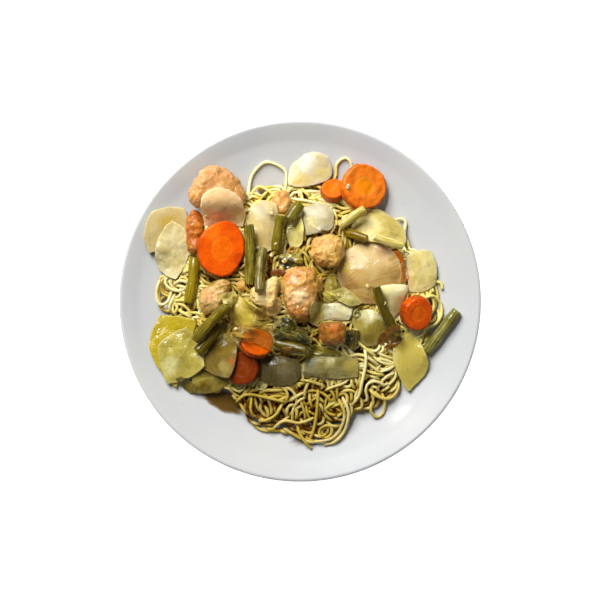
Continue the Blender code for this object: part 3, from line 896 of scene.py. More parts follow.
def finish_piece(piece: Piece, material: Material, *nodes: str) -> None:
    """Dresses a piece, puts it on the plate's body, and hides the nodes that it stands for.

    Args:
        piece: The piece.
        material: Its material.
        nodes: The CAD nodes that it replaces.
    """
    piece.data.materials.clear()
    piece.data.materials.append(material)
    piece.data.shade_smooth()
    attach(piece, "root")
    if nodes:
        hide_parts(*nodes)
    LOG.info("%s: %d faces", piece.name, len(piece.data.polygons))


@dataclass
class LocalAxes:
    """A solid's own middle and axes, the longest first, worked out from its points."""

    middle: np.ndarray
    axes: np.ndarray
    halves: np.ndarray

    @classmethod
    def of(cls, points: np.ndarray) -> "LocalAxes":
        """The axes of a cloud of points.

        Args:
            points: The points in metres, one to a row.

        Returns:
            Their middle, axes and half sizes.
        """
        middle = (points.min(0) + points.max(0)) / 2
        _, found = np.linalg.eigh(np.cov((points - points.mean(0)).T))
        axes = found.T[::-1].copy()
        if axes[2][2] < 0:
            axes[2] = -axes[2]
        local = (points - middle) @ axes.T
        middle = middle + ((local.min(0) + local.max(0)) / 2) @ axes
        halves = (local.max(0) - local.min(0)) / 2
        return cls(middle, axes, halves)

    def local(self, points: np.ndarray) -> np.ndarray:
        """Points as distances along the solid's own axes, in metres."""
        return (points - self.middle) @ self.axes.T


def pixel_place(across: float, down: float) -> np.ndarray:
    """Where a pixel of the photograph lies on the table's plane, in metres."""
    return np.array([(across - PHOTO_MIDDLE) * PIXEL_MM, (PHOTO_MIDDLE - down) * PIXEL_MM]) * MM


@dataclass(frozen=True)
class Patch:
    """A place of another colour on a piece: most are its own stains and tones, a few are painted shade and
    painted highlights.

    Attributes:
        across: Its middle in the photograph, in pixels from the left.
        down: The same, from the top.
        reach: Its radius in millimetres.
        colour: Its colour.
        strength: How much it covers, from 0 to 1.
    """

    across: float
    down: float
    reach: float
    colour: Shade
    strength: float = 1.0


def paint(mesh: Mesh, patches: tuple[Patch, ...], seed: int) -> None:
    """Paints soft uneven patches over a mesh, for its material to read.

    Args:
        mesh: The mesh.
        patches: The patches, the lowest first.
        seed: What their uneven outlines start from.
    """
    points = points_of(mesh)
    tint = np.zeros((len(points), 4))
    uneven = 1 + 0.5 * lumps(points, 6.0, 2, seed) if patches else 1.0
    for patch in patches:
        away = np.linalg.norm(points[:, :2] - pixel_place(patch.across, patch.down), axis=1)
        share = patch.strength * (1 - soft_step(away / (patch.reach * MM) * uneven, 0.3, 1.15))
        tint += (np.array(tone(patch.colour)) - tint) * share[:, None]
    stored = mesh.attributes.new("tint", "FLOAT_COLOR", "POINT")
    stored.data.foreach_set("color", tint.astype(np.float32).ravel())


@dataclass
class Topping:
    """A piece of food that stands for one CAD node.

    Attributes:
        node: The CAD node, which also names the piece and its material slot.
        finish: What it looks like.
        patches: Its places of another colour.
    """

    node: str
    finish: object
    patches: tuple[Patch, ...] = ()

    @property
    def seed(self) -> int:
        """A number that is the same each run and differs from piece to piece."""
        return sum(map(ord, self.node)) % 97

    def shape(self) -> Piece:
        """The finished mesh, in its place."""
        raise NotImplementedError

    def build(self) -> Piece:
        """Shapes and dresses the piece.

        Returns:
            The piece.
        """
        made = self.shape()
        paint(made.data, self.patches, self.seed)
        finish_piece(made, self.finish.material(self.node), self.node)
        return made


@dataclass
class CarrotSlice(Topping):
    """A slice across a carrot, with a slightly raised core and a soft uneven edge.

    Attributes:
        voxel: The size of the mesh's cells in millimetres.
        dents: The depth of the dents in it in millimetres.
        groove: The depth of the groove round its core in millimetres.
        dome: How far its core bulges in millimetres.
        pits: The depth of its fine pits in millimetres.
    """

    finish: CarrotFinish = field(default_factory=CarrotFinish)
    voxel: float = 0.45
    dents: float = 0.4
    groove: float = 0.14
    dome: float = 0.18
    pits: float = 0.12

    def shape(self) -> Piece:
        """The slice, with its relief cut in.

        Returns:
            The slice.
        """
        made = node_copy(self.node, self.node + "_piece")
        own = LocalAxes.of(points_of(made.data))
        made.data.remesh_voxel_size = self.voxel * MM
        pick(made)
        bpy.ops.object.voxel_remesh()
        points, outward = points_of(made.data), normals_of(made.data)
        place = own.local(points)
        disc = place[:, :2] / own.halves[:2]
        radius = np.linalg.norm(disc, axis=1)
        on_face = soft_step(np.abs(outward @ own.axes[2]), 0.6, 0.9)
        core = self.finish.core_share
        groove = -self.groove * np.exp(-(((radius - core) / 0.05) ** 2))
        dome = self.dome * (1 - soft_step(radius, 0.0, core))
        dips = self.dents * lumps(points, 9.0, 2, self.seed)
        grain = self.pits * lumps(points, 1.6, 2, self.seed + 1)
        amount = on_face * (groove + dome) + dips + grain
        move_points(made.data, points + outward * (amount * MM)[:, None])
        note(made.data, slice=np.column_stack([disc, place[:, 2] / own.halves[2]]))
        return made


@dataclass
class ChickenPiece(Topping):
    """A torn or cut piece of breast meat, craggy and fibrous.

    Attributes:
        voxel: The size of the mesh's cells in millimetres.
        crags: The depth of its crags in millimetres.
        fibre_turn: The direction of its fibres from +X, in degrees.
        fibre_share: How much of its relief is fibres.
        crack_share: How much of it is cracks.
        crumb_share: How much of it is crumbs.
    """

    finish: ChickenFinish = field(default_factory=ChickenFinish)
    voxel: float = 0.5
    crags: float = 1.0
    fibre_turn: float = 60.0
    fibre_share: float = 0.3
    crack_share: float = 0.34
    crumb_share: float = 0.36

    def shape(self) -> Piece:
        """The piece, with its crags and fibres.

        Returns:
            The piece.
        """
        made = node_copy(self.node, self.node + "_piece")
        refine(made, 1)
        made.data.remesh_voxel_size = self.voxel * MM
        bpy.ops.object.voxel_remesh()
        turn = math.radians(self.fibre_turn)
        along = np.array([math.cos(turn), math.sin(turn), 0.15])
        for _ in range(2):
            points, outward = points_of(made.data), normals_of(made.data)
            big = lumps(points, 7.5, 2, self.seed)
            move_points(made.data, points + outward * (big * self.crags * 0.75 * MM)[:, None])
        points, outward = points_of(made.data), normals_of(made.data)
        run = points @ along
        grain = points - 0.86 * run[:, None] * along
        fibres = 1 - 2 * np.abs(lumps(grain, 2.6, 2, self.seed + 2))
        cracks = 1 - 2 * np.abs(lumps(points, 4.2, 3, self.seed + 3))
        rough = 0.12 + 0.88 * soft_step(lumps(points, 8.0, 1, self.seed + 6), -0.12, 0.22)
        relief = self.fibre_share * (fibres - 0.55) + self.crack_share * (cracks - 0.62)
        relief += self.crumb_share * lumps(points, 2.4, 3, self.seed + 4)
        relief *= rough
        move_points(made.data, points + outward * (relief * self.crags * MM)[:, None])
        across = np.array([-math.sin(turn), math.cos(turn), 0.0])
        grain = np.column_stack([run, points @ across, points[:, 2]])
        # The crag mark is low in the relief's hollows, where the material paints shade
        note(made.data, crag=soft_step(relief + 0.2 * big, -0.4, 0.2), rough=rough, grain=grain)
        return made


def rim_share(mesh: Mesh, reach: float) -> np.ndarray:
    """How close each point of a thin sheet is to its rim, from 1 on the rim to 0.

    Args:
        mesh: The sheet.
        reach: How far from the rim the share falls to about a third, in millimetres.

    Returns:
        One value for each point.
    """
    points, outward = points_of(mesh), normals_of(mesh)
    rim = points[np.abs(outward[:, 2]) < 0.45]
    tree = kdtree.KDTree(len(rim))
    for index, point in enumerate(rim):
        tree.insert(point, index)
    tree.balance()
    away = np.array([tree.find(point)[2] for point in points])
    return np.exp(-away / (reach * MM))


@dataclass
class Sheet(Topping):
    """A thin petal or leaf: its solid is smoothed, with waves, and fine relief on its upward faces.

    Attributes:
        levels: How many times its mesh is refined.
        sharpness: How crisp its rim stays, from 0 to 1.
        waves: The height of its waves in millimetres.
        wave_size: The size of its waves in millimetres.
        ragged: How uneven its outline is, in millimetres.
        root: Where its fibres or veins meet, as a pixel of the photograph.
        ringed: Whether its lines run round the root instead of away from it.
        rim_reach: How far its rim's own colour reaches inwards, in millimetres.
    """

    levels: int = 3
    sharpness: float = 0.35
    waves: float = 0.5
    wave_size: float = 11.0
    ragged: float = 0.6
    root: Spot = (300.0, 300.0)
    ringed: bool = False
    rim_reach: float = 1.3

    def crease(self, mesh: Mesh) -> None:
        """Keeps the sheet's rim and its sharp corners when it is smoothed.

        Args:
            mesh: The sheet's mesh.
        """
        bm = bmesh.new()
        bm.from_mesh(mesh)
        edge_layer = bm.edges.layers.float.new("crease_edge")
        corner_layer = bm.verts.layers.float.new("crease_vert")
        loops: dict[bmesh.types.BMVert, list[Vector]] = {}
        for edge in bm.edges:
            tilts = [abs(face.normal.z) for face in edge.link_faces]
            if len(tilts) == 2 and max(tilts) > 0.5 > min(tilts):
                edge[edge_layer] = self.sharpness
                for vertex in edge.verts:
                    way = (edge.other_vert(vertex).co - vertex.co).normalized()
                    loops.setdefault(vertex, []).append(way)
        for vertex, ways in loops.items():
            if len(ways) == 2 and ways[0].angle(ways[1]) < math.radians(125):
                vertex[corner_layer] = min(1.0, self.sharpness * 1.6)
        bm.to_mesh(mesh)
        bm.free()

    def grain(self, points: np.ndarray) -> np.ndarray:
        """Each point's place along and across the fibres that spread from the root.

        Args:
            points: The sheet's points, in metres.

        Returns:
            How far along and across each is, and a share of its height.
        """
        away = points[:, :2] - pixel_place(*self.root)
        distance = np.linalg.norm(away, axis=1)
        angle = np.arctan2(away[:, 1], away[:, 0]) - self.main_angle(points)
        angle = (angle + math.pi) % (2 * math.pi) - math.pi
        along, across = distance, angle * distance.mean()
        if self.ringed:
            along, across = across, along
        return np.column_stack([along, across, points[:, 2] * 0.1])

    def main_angle(self, points: np.ndarray) -> float:
        """The direction from the root to the sheet's middle."""
        away = points[:, :2].mean(0) - pixel_place(*self.root)
        return math.atan2(away[1], away[0])

    def relief(self, points: np.ndarray, grain: np.ndarray) -> np.ndarray:
        """The height of the fine relief at each point, in millimetres."""
        raise NotImplementedError

    def shape(self) -> Piece:
        """The sheet, smoothed, waved and cut with its relief.

        Returns:
            The sheet.
        """
        made = node_copy(self.node, self.node + "_piece")
        self.crease(made.data)
        refine(made, self.levels)
        points = points_of(made.data)
        flat = points * (1, 1, 0)
        for axis in (0, 1):
            points[:, axis] += self.ragged * MM * lumps(flat, 5.5, 2, self.seed + 7 + axis)
        points[:, 2] += self.waves * MM * lumps(flat, self.wave_size, 2, self.seed)
        move_points(made.data, points)
        grain = self.grain(points)
        upper = soft_step(normals_of(made.data)[:, 2], 0.2, 0.8)
        points[:, 2] += self.relief(points, grain) * MM * upper
        move_points(made.data, points)
        note(made.data, grain=grain, rim=rim_share(made.data, self.rim_reach), **self.marks(grain))
        return made

    def marks(self, grain: np.ndarray) -> dict[str, np.ndarray]:
        """What else the material reads, by name."""
        return {}


@dataclass
class OnionPetal(Sheet):
    """A layer of onion, with ribs along its fibres."""

    finish: PetalFinish = field(default_factory=PetalFinish)
    sharpness: float = 0.62
    ragged: float = 0.8
    ribs: float = 0.08

    def relief(self, points: np.ndarray, grain: np.ndarray) -> np.ndarray:
        """Low ribs that follow the fibres."""
        stretched = grain * (1 / 26, 1 / 2.4, 0)
        return self.ribs * lumps(stretched, 1.0, 2, self.seed)


@dataclass
class CabbageLeaf(Sheet):
    """A piece of leaf, crinkled between its veins.

    Attributes:
        vein_gap: The distance between side veins in millimetres.
        crinkle: The height of its crinkles in millimetres.
    """

    finish: LeafFinish = field(default_factory=LeafFinish)
    sharpness: float = 0.95
    waves: float = 0.7
    vein_gap: float = 8.0
    crinkle: float = 0.2

    def veins(self, grain: np.ndarray) -> np.ndarray:
        """How close each point is to a vein, from 0 to 1.

        Args:
            grain: Each point's place along and across the veins.

        Returns:
            One value for each point.
        """
        along, across = grain[:, 0] / MM, grain[:, 1] / MM
        bend = 1.4 * lumps(grain * (1, 1, 0), 9.0, 1, self.seed)
        middle = np.exp(-((across + bend) ** 2) / 0.9)
        side = (along - 0.9 * np.abs(across) + bend) / self.vein_gap
        side_away = np.abs(side - np.round(side)) * self.vein_gap
        return np.maximum(middle, 0.7 * np.exp(-(side_away**2) / 0.22))

    def relief(self, points: np.ndarray, grain: np.ndarray) -> np.ndarray:
        """Raised veins with crinkled leaf between them."""
        folds = 1 - 2 * np.abs(lumps(points, 7.0, 2, self.seed + 5))
        return 0.14 * self.veins(grain) + self.crinkle * (folds - 0.6)

    def marks(self, grain: np.ndarray) -> dict[str, np.ndarray]:
        """Where the veins are."""
        return {"vein": self.veins(grain)}


@dataclass
class GreenBean(Topping):
    """A cut pod, oval across, with seed bulges, wrinkles and hollow cut ends.

    Attributes:
        sides: How many faces go round it.
        rings: How many rings of faces go along it.
        wrinkles: The depth of its wrinkles in millimetres.
        slimness: Its radius as a share of its solid's.
        flatness: Its width and its height as shares of that radius.
        seed_gap: How close its seeds lie, as the millimetres to one radian of their wave.
        seed_rise: How far they bulge, as a share of its radius.
        taper: How much thinner its ends are.
    """

    finish: BeanFinish = field(default_factory=BeanFinish)
    sides: int = 24
    rings: int = 44
    wrinkles: float = 0.16
    slimness: float = 0.96
    flatness: Spot = (1.04, 0.9)
    seed_gap: float = 2.6
    seed_rise: float = 0.05
    taper: float = 0.12

    def pod(self) -> Piece:
        """A straight pod, 2 long and 1 in radius, with both of its ends cut and hollowed.

        Returns:
            The pod.
        """
        made = primitive(
            bpy.ops.mesh.primitive_cylinder_add, self.node + "_piece",
            vertices=self.sides, radius=1.0, depth=2.0, end_fill_type="NGON",
        )
        bpy.ops.object.mode_set(mode="EDIT")
        bm = bmesh.from_edit_mesh(made.data)
        for face in bm.faces:
            face.select = abs(face.normal.z) > 0.9
        bmesh.update_edit_mesh(made.data)
        bpy.ops.mesh.inset(thickness=0.24, use_individual=True)
        bpy.ops.mesh.inset(thickness=0.1, depth=-0.05, use_individual=True)
        bpy.ops.mesh.inset(thickness=0.3, depth=0.03, use_individual=True)
        bpy.ops.mesh.select_all(action="DESELECT")
        bm = bmesh.from_edit_mesh(made.data)
        for edge in bm.edges:
            edge.select = abs(edge.verts[0].co.z - edge.verts[1].co.z) > 1.5
        bmesh.update_edit_mesh(made.data)
        bpy.ops.mesh.subdivide(number_cuts=self.rings)
        bpy.ops.object.mode_set(mode="OBJECT")
        return made

    def shape(self) -> Piece:
        """The pod laid along its solid's middle line.

        Returns:
            The pod in its place.
        """
        solid = points_of(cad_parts[self.node].data)
        solid = np.unique(np.round(solid, 6), axis=0)
        own = LocalAxes.of(solid)
        reach = own.local(solid)[:, 0] / own.halves[0]
        line = np.polyfit(reach, solid, 2)
        radius = np.linalg.norm(own.local(solid)[:, 1:], axis=1).mean() * self.slimness
        made = self.pod()
        raw = points_of(made.data)
        along = raw[:, 2]
        angle = np.arctan2(raw[:, 1], raw[:, 0])
        away = np.linalg.norm(raw[:, :2], axis=1)
        middle = line[0] * along[:, None] ** 2 + line[1] * along[:, None] + line[2]
        tangent = 2 * line[0] * along[:, None] + line[1]
        tangent /= np.linalg.norm(tangent, axis=1)[:, None]
        side = np.cross(tangent, (0.0, 0.0, 1.0))
        side /= np.linalg.norm(side, axis=1)[:, None]
        up = np.cross(side, tangent)
        length = own.halves[0] / MM
        seeds = self.seed_rise * np.sin(along * length / self.seed_gap + self.seed)
        ends = 1 - self.taper * np.abs(along) ** 6
        section = radius * away * ends * (1 + seeds)
        across, rise = np.cos(angle), np.sin(angle)
        wide = self.flatness[0] * across[:, None] * side
        tall = self.flatness[1] * rise[:, None] * up
        points = middle + section[:, None] * (wide + tall)
        pod_place = np.column_stack([along * own.halves[0], across * radius, rise * radius])
        streaks = lumps(pod_place * (1 / 9, 1 / 1.5, 1 / 1.5), 1.0, 2, self.seed)
        ridge = self.wrinkles * (streaks + 0.8 * lumps(points, 3.4, 2, self.seed + 1))
        skin = (away > 0.99)[:, None]
        points += skin * (wide + tall) * (ridge * MM)[:, None]
        move_points(made.data, points)
        note(made.data, pod=pod_place, cut=away < 0.9)
        return made


class HeightMap:
    """Heights over a square grid seen from above, in metres.

    Attributes:
        half: Half the grid's width in millimetres.
        cell: The width of a cell in millimetres.
    """

    half = 140.0
    cell = 0.5

    def __init__(self, heights: float | np.ndarray) -> None:
        """Makes a map.

        Args:
            heights: Its height everywhere, or the height of each cell.
        """
        count = int(2 * self.half / self.cell) + 1
        self.heights = np.zeros((count, count)) + heights

    def index(self, across: np.ndarray) -> np.ndarray:
        """The cell of a place along one axis."""
        cells = np.rint((across / MM + self.half) / self.cell)
        return np.clip(cells, 0, len(self.heights) - 1).astype(int)

    def at(self, points: np.ndarray) -> np.ndarray:
        """The height at each point."""
        return self.heights[self.index(points[..., 0]), self.index(points[..., 1])]

    def stamp(self, mesh: Mesh, keep: Callable) -> None:
        """Draws a mesh into the map.

        Args:
            mesh: The mesh, in the row frame.
            keep: np.maximum to keep the highest surface, or np.minimum for the lowest.
        """
        mesh.calc_loop_triangles()
        corners = np.zeros(len(mesh.loop_triangles) * 3, int)
        mesh.loop_triangles.foreach_get("vertices", corners)
        for a, b, c in points_of(mesh)[corners].reshape(-1, 3, 3):
            self.stamp_triangle(a, b, c, keep)

    def stamp_triangle(self, a: np.ndarray, b: np.ndarray, c: np.ndarray, keep: Callable) -> None:
        """Draws one triangle into the map.

        Args:
            a: Its first corner, in metres.
            b: Its second.
            c: Its third.
            keep: As stamp has it.
        """
        area = (b[0] - a[0]) * (c[1] - a[1]) - (c[0] - a[0]) * (b[1] - a[1])
        if abs(area) < 1e-12:
            return
        low, high = np.minimum(np.minimum(a, b), c), np.maximum(np.maximum(a, b), c)
        columns = np.arange(self.index(low[0]), self.index(high[0]) + 1)
        rows = np.arange(self.index(low[1]), self.index(high[1]) + 1)
        x, y = np.meshgrid(
            (columns * self.cell - self.half) * MM, (rows * self.cell - self.half) * MM, indexing="ij"
        )
        share_b = ((x - a[0]) * (c[1] - a[1]) - (c[0] - a[0]) * (y - a[1])) / area
        share_c = ((b[0] - a[0]) * (y - a[1]) - (x - a[0]) * (b[1] - a[1])) / area
        inside = (share_b >= 0) & (share_c >= 0) & (share_b + share_c <= 1)
        heights = a[2] + share_b * (b[2] - a[2]) + share_c * (c[2] - a[2])
        window = np.ix_(columns, rows)
        self.heights[window] = np.where(inside, keep(self.heights[window], heights), self.heights[window])

    def spread(self, reach: float, keep: Callable) -> np.ndarray:
        """The highest or lowest height within a reach in millimetres of each cell.

        Args:
            reach: The reach.
            keep: np.maximum for the highest, or np.minimum for the lowest.

        Returns:
            A height for each cell.
        """
        found = self.heights
        steps = int(round(reach / self.cell))
        for axis in (0, 1):
            found = keep.reduce([np.roll(found, step, axis) for step in range(-steps, steps + 1)])
        return found


@dataclass
class Plate:
    """The coupe plate, turned from its section.

    Attributes:
        floor_radius: Where the flat middle ends.
        floor_height: The height of the flat middle.
        wall_curve: How the wall rises from the middle to the lip.
        wall: The thickness of the wall.
        lip: The radius of the rounded lip.
        lip_rise: How far the surface is eased up beside the lip.
        foot_outer: The foot ring's outer radius.
        foot_inner: The foot ring's inner radius.
        foot_draft: How far the foot ring's sides lean.
        recess: How far the base is set back inside the foot ring.
        well: How deep the faint line round the well is.
        well_share: Where that line is, as a share of the plate's radius.
        steps: How many faces go round the plate.
        lip_turns: The directions in degrees of the points round the lip.
    """

    floor_radius: float = 62.0
    floor_height: float = 6.5
    wall_curve: float = 1.9
    wall: float = 4.6
    lip: float = 1.7
    lip_rise: float = 0.9
    foot_outer: float = 84.0
    foot_inner: float = 77.0
    foot_draft: float = 2.0
    recess: float = 1.9
    well: float = 0.15
    well_share: float = 0.915
    steps: int = 160
    lip_turns: range = range(108, -46, -12)

    def __post_init__(self) -> None:
        """Takes the radius and the height from the imported plate."""
        low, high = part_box("plate")
        self.radius = (high.x - low.x) / 2 / MM
        self.height = high.z / MM

    def surface(self, radius: float) -> float:
        """The height of the eating surface at a radius."""
        share = max(0.0, (radius - self.floor_radius) / (self.radius - self.floor_radius))
        return self.floor_height + (self.height - self.floor_height) * share**self.wall_curve

    def eased(self, radius: float) -> float:
        """The same surface, eased up to meet the lip.

        Args:
            radius: The radius in millimetres.

        Returns:
            The height in millimetres.
        """
        near_lip = soft_step(radius, self.radius * 0.87, self.radius - 1.6 * self.lip)
        inside_well = 1 - soft_step(radius / self.radius, self.well_share - 0.01, self.well_share)
        well = self.well * inside_well * (radius > self.floor_radius)
        return float(self.surface(radius) + self.lip_rise * near_lip - well)

    def section(self) -> list[tuple[float, float]]:
        """Half the plate's section, from the middle of its top round to the middle of its base.

        Returns:
            Each point's radius and height in millimetres.
        """
        reaches = np.linspace(self.floor_radius * 0.5, self.radius - 1.5 * self.lip, 56)
        inner = [(radius, self.eased(radius)) for radius in reaches]
        middle = (self.radius - self.lip, self.height - self.lip)
        lip = [
            (middle[0] + self.lip * math.cos(turn), middle[1] + self.lip * math.sin(turn))
            for turn in map(math.radians, self.lip_turns)
        ]
        under_start = self.foot_outer + 2 * self.foot_draft
        under = [(r, self.surface(r) - self.wall) for r in np.linspace(self.radius - 6, under_start, 14)]
        foot = [
            (self.foot_outer + self.foot_draft, self.surface(self.foot_outer) - self.wall),
            (self.foot_outer + 0.5, 0.5),
            (self.foot_outer, 0.0),
            (self.foot_inner, 0.0),
            (self.foot_inner - 0.5, 0.5),
            (self.foot_inner - self.foot_draft, self.recess),
        ]
        return [(0.0, self.floor_height), *inner, *lip, *under, *foot, (0.0, self.recess)]

    def build(self) -> Piece:
        """Spins the section into the plate.

        Returns:
            The plate.
        """
        outline = self.section()
        mesh = bpy.data.meshes.new("dinner_plate")
        edges = [(index, index + 1) for index in range(len(outline) - 1)]
        mesh.from_pydata([(radius * MM, 0.0, height * MM) for radius, height in outline], edges, [])
        made = placed("dinner_plate", mesh)
        round_up = {"steps": self.steps, "angle": 2 * math.pi, "center": (0, 0, 0), "axis": (0, 0, 1)}
        edit_all(
            made,
            partial(bpy.ops.mesh.spin, **round_up),
            partial(bpy.ops.mesh.remove_doubles, threshold=0.00001),
            partial(bpy.ops.mesh.normals_make_consistent, inside=False),
        )
        finish_piece(made, GlazeFinish().material("plate_glaze"), "plate")
        return made


@dataclass
class Strand:
    """A noodle's path seen from above and its radius, in metres."""

    path: np.ndarray
    radius: float
    heights: np.ndarray | None = None


@dataclass
class NoodleHeap:
    """Noodles laid one on another between the plate and the toppings.

    Attributes:
        toppings: The pieces that lie on the noodles.
        bed_drop: How far below the solid heap's surface the noodles start.
        rise: How far above that surface they may reach.
        radius: The mean radius of a noodle.
        step: The distance between the points of a path.
        sides: How many faces go round a noodle.
        bundles: How many bundles of noodles are laid.
        clearance: The gap left under the toppings.
        end_drop: How far a noodle's ends dip into the heap.
        end_length: How many points from its end a noodle starts to dip.
        sauced_middle: The middle of the browner noodles, as a pixel of the photograph.
        sauced_halves: How far they reach across and along, in millimetres.
        corner_left: The left and front ends of the square that the bundles start in.
        corner_right: Its right and back ends.
        lengths: The shortest and the longest path.
        curls: The radii that a path may bend at.
        together: How many noodles a bundle may have, each as often as it is named.
        hidden_skipped: How many of the bundles that start under a topping are left out.
        seed: What the draws start from.
    """

    toppings: list[Piece]
    bed_drop: float = 5.6
    rise: float = 4.6
    radius: float = 1.15
    step: float = 2.0
    sides: int = 8
    bundles: int = 640
    clearance: float = 0.3
    end_drop: float = 3.4
    end_length: int = 4
    sauced_middle: Spot = (305.0, 285.0)
    sauced_halves: Spot = (76.0, 48.0)
    corner_left: Spot = (-105, -112)
    corner_right: Spot = (105, 105)
    lengths: Spot = (80.0, 190.0)
    curls: tuple[float, ...] = (6.5, 9.0, 14.0, 20.0, 32.0, 55.0)
    together: tuple[int, ...] = (1, 1, 1, 2, 2, 3)
    hidden_skipped: float = 0.75
    seed: int = 5
    strands: list[Strand] = field(default_factory=list)

    def survey(self) -> None:
        """Maps what holds the noodles up and what they must stay under."""
        plate, solid, under = HeightMap(NOTHING), HeightMap(NOTHING), HeightMap(SKY)
        plate.stamp(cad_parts["plate"].data, np.maximum)
        solid.stamp(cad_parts["noodles"].data, np.maximum)
        for topping in self.toppings:
            under.stamp(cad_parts[topping.name.removesuffix("_piece")].data, np.minimum)
            points = points_of(topping.data)
            cells = (under.index(points[:, 0]), under.index(points[:, 1]))
            np.minimum.at(under.heights, cells, points[:, 2])
        self.heap = HeightMap(solid.spread(2.0, np.minimum)).spread(2.0, np.maximum)
        self.plate_map = plate
        bed = np.where(self.heap > 0, self.heap - self.bed_drop * MM, NOTHING)
        self.bed = HeightMap(np.maximum(bed, plate.heights + 0.25 * MM))
        self.ground = HeightMap(self.bed.heights)
        self.roof = HeightMap(under.spread(0.5, np.minimum) - self.clearance * MM)
        self.open_top = HeightMap(np.maximum(self.heap, plate.heights + 1.5 * MM) + self.rise * MM)
        self.is_open = self.roof.heights > SKY / 2

    def kernel(self, radius: float) -> np.ndarray:
        """How far a noodle's surface lies from its middle line, over the cells that it covers.

        Args:
            radius: The noodle's radius in metres.

        Returns:
            A height in metres for each cell.
        """
        reach = int(math.ceil(radius / MM / HeightMap.cell))
        away = np.arange(-reach, reach + 1) * HeightMap.cell * MM
        squared = radius**2 - away[:, None] ** 2 - away[None, :] ** 2
        return np.where(squared > 0, np.sqrt(np.maximum(squared, 0.0)), NOTHING)

    def rest_heights(self, path: np.ndarray, radius: float) -> np.ndarray:
        """The lowest height of a noodle's middle line at each point of its path.

        Args:
            path: The noodle's path.
            radius: Its radius.

        Returns:
            A height in metres for each point.
        """
        kernel = self.kernel(radius)
        reach = len(kernel) // 2
        found = []
        columns, rows = self.ground.index(path[:, 0]), self.ground.index(path[:, 1])
        for i, j in zip(columns, rows):
            around = self.ground.heights[i - reach : i + reach + 1, j - reach : j + reach + 1]
            found.append((around + kernel).max())
        return np.array(found)

    def settle(self, lowest: np.ndarray) -> np.ndarray:
        """Bends a noodle softly over what it rests on.

        Args:
            lowest: The lowest height at each point.

        Returns:
            The softened heights.
        """
        heights = lowest.copy()
        for _ in range(14):
            padded = np.concatenate([heights[:1], heights, heights[-1:]])
            heights = np.maximum(lowest, (padded[:-2] + 2 * heights + padded[2:]) / 4)
        return heights

    def lay(self, strand: Strand, extra: float = 0.0, shortest: int = 7) -> None:
        """Lays a noodle over the heap and under the toppings, in the stretches where it fits.

        Args:
            strand: The noodle's path.
            extra: How much higher than the others it may lie, in millimetres.
            shortest: The fewest points that a stretch may have.
        """
        radius = strand.radius
        floor = self.plate_map.at(strand.path) + radius + 0.1 * MM
        roof = self.roof.at(strand.path) - radius
        heights = self.settle(self.rest_heights(strand.path, radius))
        top = self.open_top.at(strand.path) + extra * MM - radius
        fits = np.where(roof < SKY / 2, roof > floor, heights < top)
        start = 0
        for index in range(len(fits) + 1):
            if index < len(fits) and fits[index]:
                continue
            if index - start >= shortest:
                part = slice(start, index)
                resting = self.dip(heights[part], roof[part], floor[part])
                self.put_down(Strand(strand.path[part], radius, resting))
            start = index + 1

    def dip(self, heights: np.ndarray, roof: np.ndarray, floor: np.ndarray) -> np.ndarray:
        """Brings a noodle down under the toppings, and its ends down into the heap.

        Args:
            heights: Where it rests.
            roof: What it stays under.
            floor: What it stays above.

        Returns:
            Its heights.
        """
        bent = np.minimum(heights, roof)
        for _ in range(6):
            padded = np.concatenate([bent[:1], bent, bent[-1:]])
            bent = np.minimum((padded[:-2] + 2 * bent + padded[2:]) / 4, np.minimum(roof, heights))
        count = len(bent)
        from_end = np.minimum(np.arange(count), np.arange(count)[::-1])
        share = 1 - np.clip(from_end / self.end_length, 0.0, 1.0)
        return np.maximum(bent - self.end_drop * MM * share**2, floor)

    def put_down(self, strand: Strand) -> None:
        """Adds a noodle to the heap, so that later ones lie on it.

        Args:
            strand: The noodle.
        """
        kernel = self.kernel(strand.radius)
        reach = len(kernel) // 2
        dense = np.linspace(0, len(strand.path) - 1, 3 * len(strand.path))
        spots = np.arange(len(strand.path))
        x = np.interp(dense, spots, strand.path[:, 0])
        y = np.interp(dense, spots, strand.path[:, 1])
        z = np.interp(dense, spots, strand.heights)
        ground = self.ground.heights
        for i, j, height in zip(self.ground.index(x), self.ground.index(y), z):
            window = ground[i - reach : i + reach + 1, j - reach : j + reach + 1]
            np.maximum(window, np.where(kernel >= 0, height + kernel, NOTHING), out=window)
        self.strands.append(strand)

    def reach(self, place: np.ndarray) -> float:
        """The noodles' reach in the direction of a place, further where a topping covers them.

        Args:
            place: The place.

        Returns:
            The reach, in metres.
        """
        angle = math.atan2(place[1], place[0]) % (2 * math.pi)
        if self.is_open[self.ground.index(place[0]), self.ground.index(place[1])]:
            return float(np.interp(angle, self.angles, self.reaches))
        return float(np.interp(angle, self.angles, self.solid_reaches))

    def measure_outline(self) -> None:
        """Works out the noodles' reach in every direction, in the open and under the toppings."""
        corners = np.array([pixel_place(*pixel) for pixel in HEAP_OUTLINE])
        around = np.vstack([corners, corners[:1]])
        line = np.vstack([np.linspace(a, b, 8, endpoint=False) for a, b in zip(around, around[1:])])
        angles = np.arctan2(line[:, 1], line[:, 0]) % (2 * math.pi)
        order = np.argsort(angles)
        self.angles, self.reaches = angles[order], np.linalg.norm(line, axis=1)[order]
        radii = np.arange(40.0, 130.0, 0.5) * MM
        self.solid_reaches = np.array([self.last_inside(radii, angle) for angle in self.angles])

    def last_inside(self, radii: np.ndarray, angle: float) -> float:
        """The largest radius in a direction at which the solid heap still stands."""
        line = np.column_stack([radii * math.cos(angle), radii * math.sin(angle)])
        return radii[self.heap[self.ground.index(line[:, 0]), self.ground.index(line[:, 1])] > 0].max()

